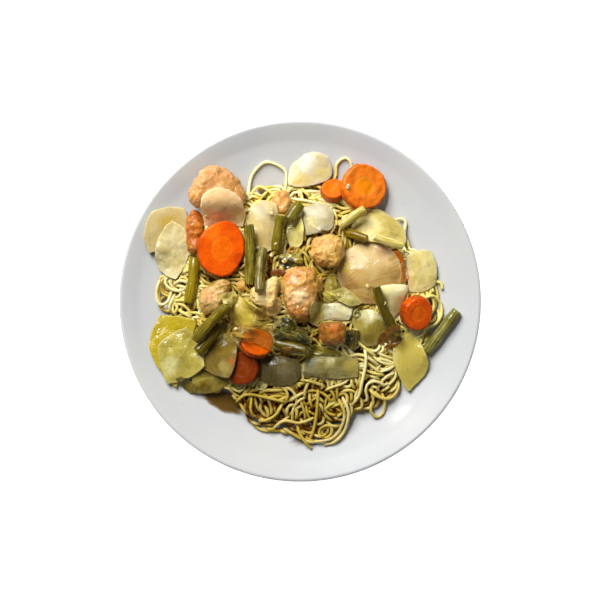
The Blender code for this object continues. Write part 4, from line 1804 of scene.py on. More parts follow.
    def sauced(self, points: np.ndarray) -> np.ndarray:
        """How much sauce the noodles hold at each point, from 0 to 1.

        Args:
            points: The points.

        Returns:
            A share for each point.
        """
        away = (points[:, :2] - pixel_place(*self.sauced_middle)) / (np.array(self.sauced_halves) * MM)
        middle = 1 - soft_step(np.linalg.norm(away, axis=1), 0.8, 1.2)
        x, y = points[:, 0] / MM, points[:, 1] / MM
        front = 0.95 * soft_step(-y, 20.0, 78.0) * (1 - 0.45 * soft_step(x, 15.0, 60.0))
        left = 0.4 * soft_step(-x, 60.0, 95.0)
        share = np.maximum(middle, np.maximum(front, left))
        return np.clip(share + 0.3 * lumps(points, 16.0, 2, self.seed), 0.0, 1.0)

    def wander(self, draw: random.Random, start: np.ndarray, length: float) -> np.ndarray:
        """A noodle's loose path seen from above.

        Args:
            draw: Where its chances come from.
            start: Where it starts, in metres.
            length: How long it is, in metres.

        Returns:
            Its points.
        """
        heading = draw.uniform(0, 2 * math.pi)
        bend = draw.choice((-1, 1)) / draw.choice(self.curls)
        sway, wave = draw.uniform(0.03, 0.12), draw.uniform(20.0, 55.0)
        edge = draw.uniform(0.88, 0.99)
        phase = draw.uniform(0, 2 * math.pi)
        place, points = np.array(start), []
        for index in range(int(length / (self.step * MM))):
            points.append(place * min(1.0, edge * self.reach(place) / np.linalg.norm(place)))
            run = index * self.step
            turn = bend + sway * math.sin(run / wave * 2 * math.pi + phase)
            beyond = (np.linalg.norm(place) / self.reach(place) - 0.87) / 0.07
            if beyond > 0:
                inward = math.atan2(-place[1], -place[0])
                off = (inward - heading + math.pi) % (2 * math.pi) - math.pi
                turn += math.copysign(0.12 * min(beyond, 1.6), off)
            heading += turn * self.step
            place = place + np.array([math.cos(heading), math.sin(heading)]) * self.step * MM
        path = np.array(points)
        for _ in range(3):
            path[1:-1] = (path[:-2] + 2 * path[1:-1] + path[2:]) / 4
        return path

    def bundle(self, draw: random.Random, path: np.ndarray, count: int) -> None:
        """Lays noodles side by side along one path.

        Args:
            draw: Where its chances come from.
            path: The path.
            count: How many noodles there are.
        """
        way = np.gradient(path, axis=0)
        way /= np.linalg.norm(way, axis=1)[:, None]
        aside = np.column_stack([-way[:, 1], way[:, 0]])
        for index in range(count):
            radius = self.radius * draw.uniform(0.88, 1.12) * MM
            gap = (index - (count - 1) / 2) * 2.25 * self.radius * MM
            sway = draw.uniform(0.4, 1.6) * MM
            run = np.arange(len(path)) * self.step
            drift = np.sin(run / draw.uniform(9, 20) + draw.uniform(0, 6)) * sway
            first = draw.randrange(0, max(1, len(path) // 5))
            last = len(path) - draw.randrange(0, max(1, len(path) // 5))
            moved = path + aside * (gap + drift)[:, None]
            self.lay(Strand(moved[first:last], radius))

    def fill(self) -> None:
        """Lays all the loose bundles, most of them where they show."""
        draw = random.Random(self.seed)
        laid = 0
        while laid < self.bundles:
            spot = np.array(list(map(draw.uniform, self.corner_left, self.corner_right))) * MM
            if np.linalg.norm(spot) > 0.95 * self.reach(spot):
                continue
            shown = self.is_open[self.ground.index(spot[0]), self.ground.index(spot[1])]
            if not shown and draw.random() < self.hidden_skipped:
                continue
            path = self.wander(draw, spot, draw.uniform(*self.lengths) * MM)
            self.bundle(draw, path, draw.choice(self.together))
            laid += 1

    def mesh(self, name: str, strands: list[Strand], draw: random.Random) -> Piece:
        """The noodles as one mesh.

        Args:
            name: The piece's name.
            strands: The noodles in it.
            draw: What each noodle's own number comes from.

        Returns:
            The piece, with each strand's own draw, and the depth that drives its painted shade, stored on
            it.
        """
        curve = bpy.data.curves.new(name, "CURVE")
        curve.dimensions = "3D"
        curve.bevel_depth = self.radius * MM
        curve.bevel_resolution = (self.sides - 4) // 2
        curve.use_fill_caps = True
        for strand in strands:
            count = len(strand.path)
            spline = curve.splines.new("POLY")
            spline.points.add(count - 1)
            places = np.column_stack([strand.path, strand.heights, np.ones(count)])
            spline.points.foreach_set("co", places.ravel())
            spline.points.foreach_set("radius", np.full(count, strand.radius / (self.radius * MM)))
        placed(name, curve)
        bpy.ops.object.convert(target="MESH")
        made = bpy.context.object
        # Each noodle has one ring of points for each point of its path, and one more for each end
        owners = [np.full(self.sides * (len(strand.path) + 2), draw.random()) for strand in strands]
        points = points_of(made.data)
        # Painted shade: how far each point lies below the highest noodles within 4 mm
        shade_depth = (HeightMap(self.ground.spread(4.0, np.maximum)).at(points) - points[:, 2]) / MM
        depth, soak = soft_step(shade_depth, 1.6, 6.0), self.sauced(points)
        note(made.data, strand=np.concatenate(owners), depth=depth, soak=soak)
        edit_all(made, partial(bpy.ops.mesh.remove_doubles, threshold=0.000001))
        return made

    def bed_piece(self) -> Piece:
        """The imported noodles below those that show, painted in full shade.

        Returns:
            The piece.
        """
        made = primitive(
            bpy.ops.mesh.primitive_uv_sphere_add, "noodle_bed", segments=120, ring_count=60, radius=1.0
        )
        points = points_of(made.data)
        share = np.minimum(1.0, np.linalg.norm(points[:, :2], axis=1))
        angle = np.arctan2(points[:, 1], points[:, 0])
        way = np.column_stack([np.cos(angle), np.sin(angle)])
        edge = np.interp(angle % (2 * math.pi), self.angles, self.solid_reaches)
        outer = [self.reach(way_out * out) for way_out, out in zip(way, edge)]
        reach = np.minimum(outer, edge) * share * 0.95
        upper = points[:, 2] > 0
        points[:, 0], points[:, 1] = reach * np.cos(angle), reach * np.sin(angle)
        plate = self.plate_map.at(points) + 0.3 * MM
        top = np.maximum(self.bed.at(points) - 0.4 * MM, plate + 0.4 * MM)
        points[:, 2] = np.where(upper, top, plate)
        move_points(made.data, points)
        # Painted shade: the bed takes the noodles' deepest shaded colour all over
        note(made.data, strand=0.5, depth=1.0, soak=1.0)
        return made

    def build(self) -> None:
        """Lays the noodles and makes their pieces."""
        self.survey()
        self.measure_outline()
        self.fill()
        self.lay_signatures()
        LOG.info("%d noodles laid", len(self.strands))
        material = NoodleFinish().material("noodle")
        finish_piece(self.bed_piece(), material, "noodles")
        middle = len(self.strands) // 2
        for strands, names in zip((self.strands[:middle], self.strands[middle:]), NOODLE_LAYERS):
            draw = random.Random(self.seed + 1)
            share = math.ceil(len(strands) / len(names))
            for layer, name in enumerate(names):
                part = strands[layer * share:(layer + 1) * share]
                finish_piece(self.mesh(name, part, draw), material, "noodles")

    def lay_signatures(self) -> None:
        """Lays the noodles that stand out in the photograph, on top of the rest."""
        for pixels in LOOSE_NOODLES:
            guide = np.array([pixel_place(*pixel) for pixel in pixels])
            self.lay(Strand(self.smooth_line(guide), self.radius * 0.98 * MM), 3.5, 4)

    def smooth_line(self, guide: np.ndarray) -> np.ndarray:
        """A smooth path with even steps through a few points.

        Args:
            guide: The points that it passes.

        Returns:
            The path.
        """
        padded = np.vstack([2 * guide[0] - guide[1], guide, 2 * guide[-1] - guide[-2]])
        line = []
        for a, b, c, d in zip(padded, padded[1:], padded[2:], padded[3:]):
            for t in np.linspace(0, 1, 12, endpoint=False):
                bend = (c - a) * t + (2 * a - 5 * b + 4 * c - d) * t**2 + (3 * b - a - 3 * c + d) * t**3
                line.append(b + bend / 2)
        line = np.array([*line, guide[-1]])
        runs = np.concatenate([[0], np.cumsum(np.linalg.norm(np.diff(line, axis=0), axis=1))])
        even = np.arange(0, runs[-1], self.step * MM)
        return np.column_stack([np.interp(even, runs, line[:, 0]), np.interp(even, runs, line[:, 1])])


# The layers of noodles in the lower and the upper half of the heap, from the plate up
NOODLE_LAYERS = (
    ("noodles_lowest", "noodles_low", "noodles_lower"),
    ("noodles_upper", "noodles_top"),
)

# Where the noodles end on the plate, as pixels of the photograph
HEAP_OUTLINE = (
    (439, 306), (437, 286), (420, 268), (410, 250), (404, 232), (397, 214), (384, 203), (362, 196),
    (345, 191), (322, 190), (300, 185), (272, 184), (252, 186), (236, 196), (214, 206), (194, 216),
    (176, 232), (166, 250), (158, 264), (154, 280), (154, 300), (158, 318), (160, 340), (170, 362),
    (186, 380), (206, 387), (228, 391), (239, 404), (246, 419), (260, 429), (282, 430), (300, 439),
    (314, 446), (330, 441), (346, 428), (354, 413), (374, 411), (396, 396), (412, 386), (424, 366),
    (430, 346), (438, 326),
)

# Noodles that stand out, as pixels of the photograph that each passes
LOOSE_NOODLES = (
    ((248, 200), (249, 185), (253, 172), (266, 161), (284, 168), (286, 181), (284, 196)),
    ((250, 196), (258, 186), (268, 190), (276, 198)),
    ((330, 184), (336, 174), (337, 163), (345, 157), (351, 162), (352, 172)),
    ((380, 224), (392, 220), (402, 218), (406, 222), (404, 234), (407, 247)),
    ((340, 214), (351, 211), (366, 209), (382, 215), (392, 227), (400, 238), (402, 250)),
    ((418, 296), (427, 298), (426, 289), (431, 281), (441, 283), (442, 291)),
    ((420, 300), (432, 296), (440, 303), (441, 314), (436, 323), (426, 327)),
    ((364, 348), (365, 362), (362, 378), (358, 395), (350, 406)),
    ((372, 400), (370, 409), (375, 416), (382, 413), (384, 401), (381, 392)),
    ((398, 378), (397, 390), (388, 398), (375, 395), (367, 386)),
    ((338, 398), (344, 413), (340, 428), (330, 438), (312, 441)),
    ((342, 396), (348, 412), (344, 430), (334, 441), (322, 444)),
    ((296, 420), (300, 433), (307, 443), (313, 449)),
    ((318, 386), (317, 407), (315, 422), (312, 433), (309, 440)),
    ((236, 402), (247, 394), (267, 397), (287, 402)),
    ((252, 396), (252, 412), (262, 420), (276, 414), (284, 400)),
    ((296, 379), (310, 381), (325, 386)),
    ((273, 428), (284, 420), (300, 422), (316, 416)),
    ((160, 280), (157, 292), (160, 304), (168, 302), (172, 290)),
)


Serving = tuple[str, tuple, tuple, dict[str, object]]


def serving(name: str, look: tuple = (), patches: tuple = (), **sizes: object) -> Serving:
    """One row of a table of toppings.

    Args:
        name: The topping's name after its kind.
        look: The values of its finish, in order.
        patches: The values of each of its patches, in order.
        sizes: Its own sizes, by name.

    Returns:
        The row.
    """
    return name, look, patches, sizes


# The carrot slices: flesh, core, ring and skin
CARROTS = (
    serving(
        "large_left", (),
        (
            # Patches: painted shade on the slice's lower right edge, a painted highlight on its upper left,
            # and a darker red by its upper right
            (241, 262, 8, (190, 58, 4), 0.7), (215, 236, 8, (252, 122, 18), 0.7),
            (232, 228, 5, (214, 70, 4), 0.6),
        ),
    ),
    serving(
        "large_back", ((246, 124, 24), (248, 142, 8), (250, 160, 58), (200, 90, 12), 0.4, 0.3), dents=1.1,
    ),
    serving("small_back", ((228, 108, 4), (236, 122, 8), (244, 138, 18))),
    serving("right_back", ((214, 112, 8),)),
    serving("right", ((226, 86, 1), (230, 100, 3), (240, 126, 22), (160, 58, 2))),
    serving("front_low", ((120, 44, 2), (126, 50, 3), (140, 64, 12), (84, 28, 2))),
    serving("front", ((208, 86, 2), (214, 96, 4), (222, 110, 12), (140, 60, 4))),
)

# The chicken: meat, hollows (darker, as painted shade), browned ridges and fibres
CHICKEN = (
    serving(
        "back_left", ((218, 172, 118), (206, 144, 84), (194, 134, 62), (232, 196, 146), 0.6),
        ((196, 200, 12, (200, 140, 62), 0.8), (236, 190, 8, (206, 146, 72), 0.7)),
    ),
    serving("strip_left", ((206, 130, 46), (172, 84, 14), (160, 72, 8), (224, 176, 104)), fibre_turn=-70),
    serving(
        "front_left", ((214, 180, 110), (184, 140, 66), (160, 118, 44), (232, 204, 146)),
        ((228, 288, 6, (180, 136, 62), 0.6), (212, 296, 6, (222, 156, 104), 0.7)), fibre_turn=30,
    ),
    serving(
        "pale_mid", ((244, 218, 146), (210, 174, 90), (184, 146, 58), (250, 230, 176), 0.4), fibre_turn=80,
    ),
    serving(
        "cube_front", ((178, 116, 40), (136, 84, 22), (108, 62, 12), (204, 148, 72)),
        ((332, 330, 5, (206, 116, 40), 0.8),),
    ),
    serving("small_back", ((232, 178, 104), (212, 148, 70), (196, 136, 60), (242, 208, 146))),
    serving(
        "large_mid", ((216, 164, 86), (184, 122, 48), (158, 98, 26), (248, 218, 158)),
        (
            # The second patch is a painted highlight
            (291, 277, 10, (228, 146, 72), 0.9), (295, 282, 4, (246, 206, 168), 0.8),
            (300, 299, 8, (238, 210, 156), 0.8), (315, 283, 7, (204, 152, 60), 0.7),
            (295, 315, 8, (184, 108, 40), 0.8),
        ), crags=1.35, fibre_turn=70,
    ),
    serving(
        "mid_right", ((230, 184, 104), (200, 146, 56), (180, 130, 40), (246, 212, 146)),
        (
            # The third patch is painted shade under the piece's lower edge
            (318, 246, 9, (240, 168, 96), 0.9), (334, 262, 8, (204, 160, 72), 0.7),
            (322, 270, 5, (170, 112, 40), 0.8),
        ), crags=1.25,
    ),
)

# The onion petals: body, shade and rim
PETALS = (
    serving(
        "far_left", ((198, 178, 122), (186, 158, 78), (208, 196, 160)),
        ((170, 226, 10, (194, 160, 56), 0.8),), root=(150, 300),
    ),
    serving(
        "back_left", ((230, 190, 136), (212, 166, 104), (240, 214, 172)),
        ((222, 206, 6, (214, 168, 104), 0.5),), root=(222, 240), ringed=True, waves=0.3, sharpness=0.5,
    ),
    serving(
        "back", ((214, 200, 162), (196, 174, 106), (226, 220, 198)),
        (
            (300, 182, 10, (218, 184, 84), 0.8), (322, 174, 8, (222, 204, 118), 0.7),
            (306, 162, 9, (234, 226, 198), 0.7),
        ), root=(268, 230),
    ),
    serving(
        "mid_left", ((204, 182, 126), (176, 150, 76), (218, 204, 162)),
        (
            (262, 212, 8, (214, 204, 170), 0.8), (256, 244, 9, (180, 152, 62), 0.8),
            (252, 222, 5, (200, 178, 92), 0.6),
        ), root=(262, 330),
    ),
    serving(
        "mid_back", ((190, 180, 142), (178, 158, 98), (202, 196, 174)),
        ((310, 226, 7, (206, 190, 108), 0.7), (320, 212, 7, (216, 208, 176), 0.7)), root=(318, 300),
    ),
    serving(
        "large", ((196, 158, 84), (166, 118, 42), (220, 200, 156), 0.3, 0.8),
        (
            (366, 256, 20, (206, 180, 124), 0.9), (338, 288, 15, (134, 90, 16), 0.9),
            (384, 252, 8, (210, 168, 128), 0.7), (346, 268, 7, (196, 168, 74), 0.7),
        ), root=(336, 290), waves=0.25, ribs=0.07, sharpness=0.5,
    ),
    serving(
        "right", ((244, 228, 158), (220, 190, 104), (250, 242, 198)),
        ((381, 302, 5, (160, 116, 56), 0.7), (398, 290, 8, (242, 230, 184), 0.7)), root=(392, 340),
    ),
    serving(
        "front_right", ((152, 132, 40), (112, 88, 14), (198, 188, 128)),
        (
            (368, 313, 9, (214, 206, 156), 0.95), (368, 342, 7, (104, 80, 10), 0.7),
            (358, 330, 6, (176, 164, 82), 0.6),
        ), root=(366, 380),
    ),
    serving(
        "front", ((96, 84, 40), (74, 56, 14), (124, 114, 78), 0.4),
        (
            (268, 358, 6, (72, 50, 14), 0.8), (286, 372, 8, (116, 106, 72), 0.8),
            (272, 378, 6, (84, 76, 30), 0.7),
        ), root=(280, 300), waves=0.4,
    ),
    serving(
        "long_front", ((126, 114, 54), (94, 82, 34), (180, 170, 112), 0.3),
        (
            (351, 366, 9, (178, 158, 74), 0.9), (308, 370, 10, (126, 120, 86), 0.8),
            (330, 360, 5, (196, 184, 130), 0.7), (304, 356, 5, (84, 72, 20), 0.7),
            (336, 374, 7, (152, 142, 92), 0.7),
        ), root=(180, 370), waves=0.5,
    ),
    serving(
        "front_left", ((120, 98, 34), (80, 62, 8), (170, 148, 84)),
        (
            # The second patch is painted shadow of the beans on the petal's upper left
            (233, 362, 4, (200, 96, 40), 0.7), (212, 346, 9, (78, 58, 8), 0.9),
            (226, 368, 7, (168, 150, 78), 0.7),
        ), root=(190, 330),
    ),
    serving(
        "far_right", ((202, 182, 84), (174, 150, 52), (212, 198, 118)),
        ((400, 346, 6, (142, 114, 26), 0.6), (392, 356, 6, (214, 202, 132), 0.6)), root=(398, 300),
        sharpness=0.7,
    ),
)

# The cabbage: body, shade and veins
LEAVES = (
    serving(
        "leaf_pale_left", ((214, 200, 148), (200, 178, 100), (232, 226, 186)),
        ((170, 222, 6, (196, 166, 66), 0.8),), root=(170, 290), crinkle=0.36,
    ),
    serving("leaf_mid_back", ((226, 212, 124), (206, 186, 66), (240, 230, 172)), root=(300, 200)),
    serving(
        "leaf_back_right", ((208, 190, 108), (172, 146, 42), (230, 218, 160)),
        ((352, 240, 9, (176, 144, 34), 0.8), (372, 226, 9, (238, 226, 166), 0.6)), root=(420, 240),
    ),
    serving(
        "leaf_right", ((218, 200, 124), (194, 166, 72), (234, 228, 192)),
        ((406, 284, 6, (212, 160, 104), 0.6),), root=(396, 340),
    ),
    serving("leaf_yellow_left", ((180, 158, 32), (162, 138, 16), (196, 180, 74)), root=(140, 330)),
    serving(
        "leaf_square", ((182, 166, 72), (142, 126, 30), (210, 200, 136)),
        ((172, 366, 9, (212, 204, 142), 0.7), (196, 340, 9, (146, 130, 34), 0.7)), root=(150, 400),
    ),
    serving(
        "leaf_front_left", ((134, 116, 36), (90, 68, 6), (180, 162, 90)),
        ((206, 388, 6, (84, 62, 8), 0.7), (216, 380, 6, (156, 138, 60), 0.7)), root=(240, 370),
    ),
    serving(
        "leaf_mid_left", ((178, 154, 52), (124, 96, 18), (212, 190, 100)),
        # The first patch is painted shade on the leaf's lower part, the second painted light on its upper
        # left
        ((262, 320, 9, (96, 68, 6), 0.8), (238, 306, 9, (206, 184, 92), 0.7)), root=(220, 290),
    ),
    serving("leaf_clear", ((140, 96, 10), (112, 70, 4), (190, 160, 76), 0.08, 0.78), root=(220, 320)),
    serving(
        "leaf_glossy", ((212, 204, 148), (178, 168, 96), (232, 226, 194)),
        # The first patch is a painted highlight
        ((332, 310, 7, (224, 218, 184), 0.7), (324, 306, 5, (164, 154, 84), 0.6)), root=(300, 316),
    ),
    serving("strip_mid", ((148, 128, 50), (104, 82, 12), (180, 164, 76)), root=(330, 240)),
    serving("strip_right", ((174, 162, 88), (132, 114, 48), (204, 192, 120)), root=(310, 290)),
)

# The green beans: skin, its dark streaks and its pale ones
BEANS = (
    serving("left", ((142, 124, 12), (124, 100, 5), (160, 144, 40))),
    serving("mid_left", ((138, 124, 36), (90, 76, 12), (190, 180, 100))),
    serving("mid_split", ((124, 110, 42), (70, 58, 8), (176, 164, 100))),
    serving("mid_back", ((132, 116, 24), (104, 88, 8), (178, 154, 64))),
    serving("stub_back", ((126, 114, 32), (84, 72, 8), (196, 176, 92))),
    serving("mid_cross", ((170, 152, 62), (104, 88, 16), (232, 216, 138))),
    serving("back_right", ((210, 196, 108), (168, 146, 52), (246, 228, 152))),
    serving("back_right_low", ((152, 124, 20), (106, 82, 5), (186, 162, 64))),
    serving("right_back", ((240, 224, 138), (196, 174, 76), (250, 242, 188))),
    serving("front_dark", ((122, 112, 54), (70, 58, 10), (184, 176, 120))),
    serving("front_mid", ((124, 112, 46), (72, 60, 9), (180, 174, 122))),
    serving("front", ((98, 84, 18), (72, 56, 4), (132, 120, 50))),
    serving("front_right", ((130, 108, 38), (70, 52, 5), (190, 170, 104))),
    serving("front_left", ((120, 104, 18), (90, 74, 4), (166, 148, 58))),
    serving("front_left_dark", ((108, 92, 3), (86, 68, 0), (158, 142, 40))),
    serving("right", ((100, 86, 8), (82, 66, 1), (158, 142, 62))),
    serving("far_right", ((132, 126, 56), (96, 90, 24), (190, 188, 140))),
)


def plate_toppings() -> list[Topping]:
    """Every topping on the plate, in its own colours.

    Returns:
        The toppings.
    """
    kinds = (
        (CarrotSlice, CarrotFinish, "carrot_slice_", CARROTS),
        (ChickenPiece, ChickenFinish, "chicken_", CHICKEN),
        (OnionPetal, PetalFinish, "onion_petal_", PETALS),
        (CabbageLeaf, LeafFinish, "cabbage_", LEAVES),
        (GreenBean, BeanFinish, "bean_", BEANS),
    )
    return [
        kind(prefix + name, finish(*look), tuple(Patch(*patch) for patch in patches), **sizes)
        for kind, finish, prefix, rows in kinds
        for name, look, patches, sizes in rows
    ]


@dataclass
class SaucePool:
    """A thin pool of sauce on the plate beside the noodles.

    Attributes:
        name: The piece's name.
        middle: Its middle, as a pixel of the photograph.
        halves: Half its length and width in millimetres.
        turn: How far its length is turned from +X, in degrees.
        depth: Its depth in millimetres.
        finish: What it looks like.
    """

    name: str
    middle: Spot
    halves: tuple[float, float]
    turn: float
    depth: float = 0.5
    finish: SauceFinish = field(default_factory=SauceFinish)

    def build(self, plate: Plate) -> Piece:
        """Shapes the pool on the plate's surface.

        Args:
            plate: The plate that it lies on.

        Returns:
            The pool.
        """
        made = primitive(
            bpy.ops.mesh.primitive_uv_sphere_add, self.name, segments=72, ring_count=40, radius=1.0
        )
        raw = points_of(made.data)
        share = np.minimum(1.0, np.linalg.norm(raw[:, :2], axis=1))
        angle = np.arctan2(raw[:, 1], raw[:, 0])
        ring = np.column_stack([np.cos(angle), np.sin(angle), np.full(len(angle), len(self.name))])
        uneven = 1 + 0.34 * lumps(ring * MM, 0.8, 3)
        flat = np.column_stack([np.cos(angle) * self.halves[0], np.sin(angle) * self.halves[1]])
        flat *= (share * uneven)[:, None] * MM
        place = turned(flat, self.turn) + pixel_place(*self.middle)
        radii = np.linalg.norm(place, axis=1) / MM
        base = np.array([plate.surface(radius) for radius in radii]) * MM + 0.02 * MM
        top = self.depth * MM * (1 - share**3)
        height = base + np.where(raw[:, 2] > 0, top, 0.0)
        move_points(made.data, np.column_stack([place, height]))
        note(made.data, rim=soft_step(share, 0.55, 1.0))
        finish_piece(made, self.finish.material(self.name))
        return made


def drop(graph: bpy.types.Depsgraph, x: float, y: float) -> tuple:
    """What a ray finds that falls at a place in metres: a hit, its place, its normal and more."""
    return bpy.context.scene.ray_cast(graph, Vector((x, y, DROP_HEIGHT)), Vector((0, 0, -1)))


@dataclass
class Crumbs:
    """Small bits that lie on what is highest where each falls.

    Attributes:
        name: The piece's name.
        places: Where they lie and their length in millimetres, by pixel of the photograph.
        finish: What they look like.
    """

    name: str
    places: tuple[tuple[float, float, float], ...]
    finish: CrumbFinish = field(default_factory=CrumbFinish)

    def build(self) -> Piece:
        """Drops each bit and joins them into one piece.

        Returns:
            The piece.
        """
        draw = random.Random(len(self.places))
        graph = bpy.context.evaluated_depsgraph_get()
        bits = []
        for across, down, size in self.places:
            _, place, upward, *_ = drop(graph, *pixel_place(across, down))
            bit = primitive(bpy.ops.mesh.primitive_cube_add, self.name, size=size * MM)
            bevel = bit.modifiers.new("soft", "BEVEL")
            bevel.width, bevel.segments = size * MM * 0.22, 2
            refine(bit, 1)
            points = points_of(bit.data) * (1.0, draw.uniform(0.5, 0.8), draw.uniform(0.4, 0.6))
            points += 0.18 * size * MM * lumps(points, size * 0.6, 2, len(bits))[:, None]
            tilt = Vector((0, 0, 1)).rotation_difference(upward).to_matrix()
            tilt = tilt @ Matrix.Rotation(draw.uniform(0, math.pi), 3, "Z")
            points = points @ np.array(tilt).T + np.array(place + upward * size * MM * 0.12)
            move_points(bit.data, points)
            bits.append(bit)
        bpy.ops.object.select_all(action="DESELECT")
        for bit in bits:
            bit.select_set(True)
        bpy.context.view_layer.objects.active = bits[0]
        bpy.ops.object.join()
        made = bpy.context.object
        made.name = self.name
        finish_piece(made, self.finish.material(self.name))
        return made


def resting_heights(places: np.ndarray) -> np.ndarray:
    """The height of what is highest at each place seen from above, in metres."""
    graph = bpy.context.evaluated_depsgraph_get()
    return np.array([drop(graph, x, y)[1].z for x, y in places[:, :2]])


@dataclass
class Scrap:
    """A loose bit of leaf, skin or meat that is draped over what lies below it.

    Attributes:
        name: The piece's name.
        corners: Its corners in order, as pixels of the photograph.
        finish: What it looks like.
        lift: How far its middle bulges, in millimetres.
        thickness: Its thickness in millimetres.
        ragged: How uneven its outline is, in millimetres.
        crumpled: The height of its crumples in millimetres.
        cells: How many faces it has along each side.
    """

    name: str
    corners: tuple[Spot, Spot, Spot, Spot]
    finish: object
    lift: float = 0.8
    thickness: float = 0.8
    ragged: float = 0.9
    crumpled: float = 0.5
    cells: int = 14

    def outline(self, raw: np.ndarray) -> np.ndarray:
        """The flat places of a square grid that is fitted to the four corners.

        Args:
            raw: The grid's points, from -1 to 1.

        Returns:
            Their places, at no height.
        """
        x, y = raw[:, 0], raw[:, 1]
        x, y = x * np.sqrt(1 - 0.36 * y**2), y * np.sqrt(1 - 0.36 * x**2)
        weights = ((1 - x) * (1 - y), (1 + x) * (1 - y), (1 + x) * (1 + y), (1 - x) * (1 + y))
        corners = (pixel_place(*corner) for corner in self.corners)
        flat = sum(np.outer(weight / 4, corner) for weight, corner in zip(weights, corners))
        return np.column_stack([flat, np.zeros(len(flat))])

    def draped(self, raw: np.ndarray, lowest: np.ndarray) -> np.ndarray:
        """Heights that pass softly over the lowest ones that each point may have.

        Args:
            raw: The grid's points.
            lowest: Each point's lowest height.

        Returns:
            A height for each point.
        """
        order = np.lexsort(np.round(raw[:, :2], 4).T)
        side = int(round(math.sqrt(len(raw))))
        bound = lowest[order].reshape(side, side)
        held = bound
        for _ in range(12):
            padded = np.pad(held, 1, mode="edge")
            mean = (padded[:-2, 1:-1] + padded[2:, 1:-1] + padded[1:-1, :-2] + padded[1:-1, 2:]) / 4
            held = np.maximum(bound, mean)
        heights = np.empty(len(lowest))
        heights[order] = held.ravel()
        return heights

    def build(self) -> Piece:
        """Shapes the bit and lays it down.

        Returns:
            The scrap.
        """
        cells = {"x_subdivisions": self.cells, "y_subdivisions": self.cells}
        made = primitive(bpy.ops.mesh.primitive_grid_add, self.name, size=2.0, **cells)
        seed = sum(map(ord, self.name)) % 89
        raw = points_of(made.data)
        places = self.outline(raw)
        for axis in (0, 1):
            places[:, axis] += self.ragged * MM * lumps(places * (1, 1, 0), 3.0, 2, seed + axis)
        heights = self.draped(raw, resting_heights(places))
        bulge = self.lift * (1 - raw[:, 0] ** 2) * (1 - raw[:, 1] ** 2)
        folds = self.crumpled * (1 - 2 * np.abs(lumps(places, 3.5, 2, seed)))
        places[:, 2] = heights + (0.15 + bulge + np.maximum(folds, 0.0)) * MM
        move_points(made.data, places)
        body = made.modifiers.new("body", "SOLIDIFY")
        body.thickness, body.offset = self.thickness * MM, 1.0
        refine(made, 1)
        points = points_of(made.data)
        own = LocalAxes.of(points * (1, 1, 0.2))
        note(made.data, grain=own.local(points), rim=rim_share(made.data, 0.7), crag=1.0, rough=1.0)
        paint(made.data, (), seed)
        finish_piece(made, self.finish.material(self.name))
        return made


@dataclass
class Ring:
    """A small curl of onion or a slice across a stalk, lying on what is below it.

    Attributes:
        name: The piece's name.
        middle: Its middle, as a pixel of the photograph.
        halves: Half its length and width in millimetres.
        finish: What it looks like.
        turn: How far its length is turned from +X, in degrees.
        tall: Its height in millimetres.
        stroke: The width of its band as a share of its size.
    """

    name: str
    middle: Spot
    halves: tuple[float, float]
    finish: object
    turn: float = 0.0
    tall: float = 2.0
    stroke: float = 0.28

    def build(self) -> Piece:
        """Shapes the ring and lays it down.

        Returns:
            The ring.
        """
        made = primitive(
            bpy.ops.mesh.primitive_torus_add, self.name, major_segments=40, minor_segments=12,
            major_radius=1 - self.stroke, minor_radius=self.stroke,
        )
        raw = points_of(made.data)
        flat = turned(raw[:, :2] * self.halves * MM, self.turn) + pixel_place(*self.middle)
        rise = (raw[:, 2] / self.stroke + 0.6) * self.tall / 2
        height = np.full(len(raw), resting_heights(flat).mean()) + rise * MM
        places = np.column_stack([flat, height])
        for axis in range(3):
            places[:, axis] += 0.3 * MM * lumps(places, 2.2, 2, axis)
        move_points(made.data, places)
        note(made.data, grain=raw * MM, rim=0.3)
        paint(made.data, (), 1)
        finish_piece(made, self.finish.material(self.name))
        return made


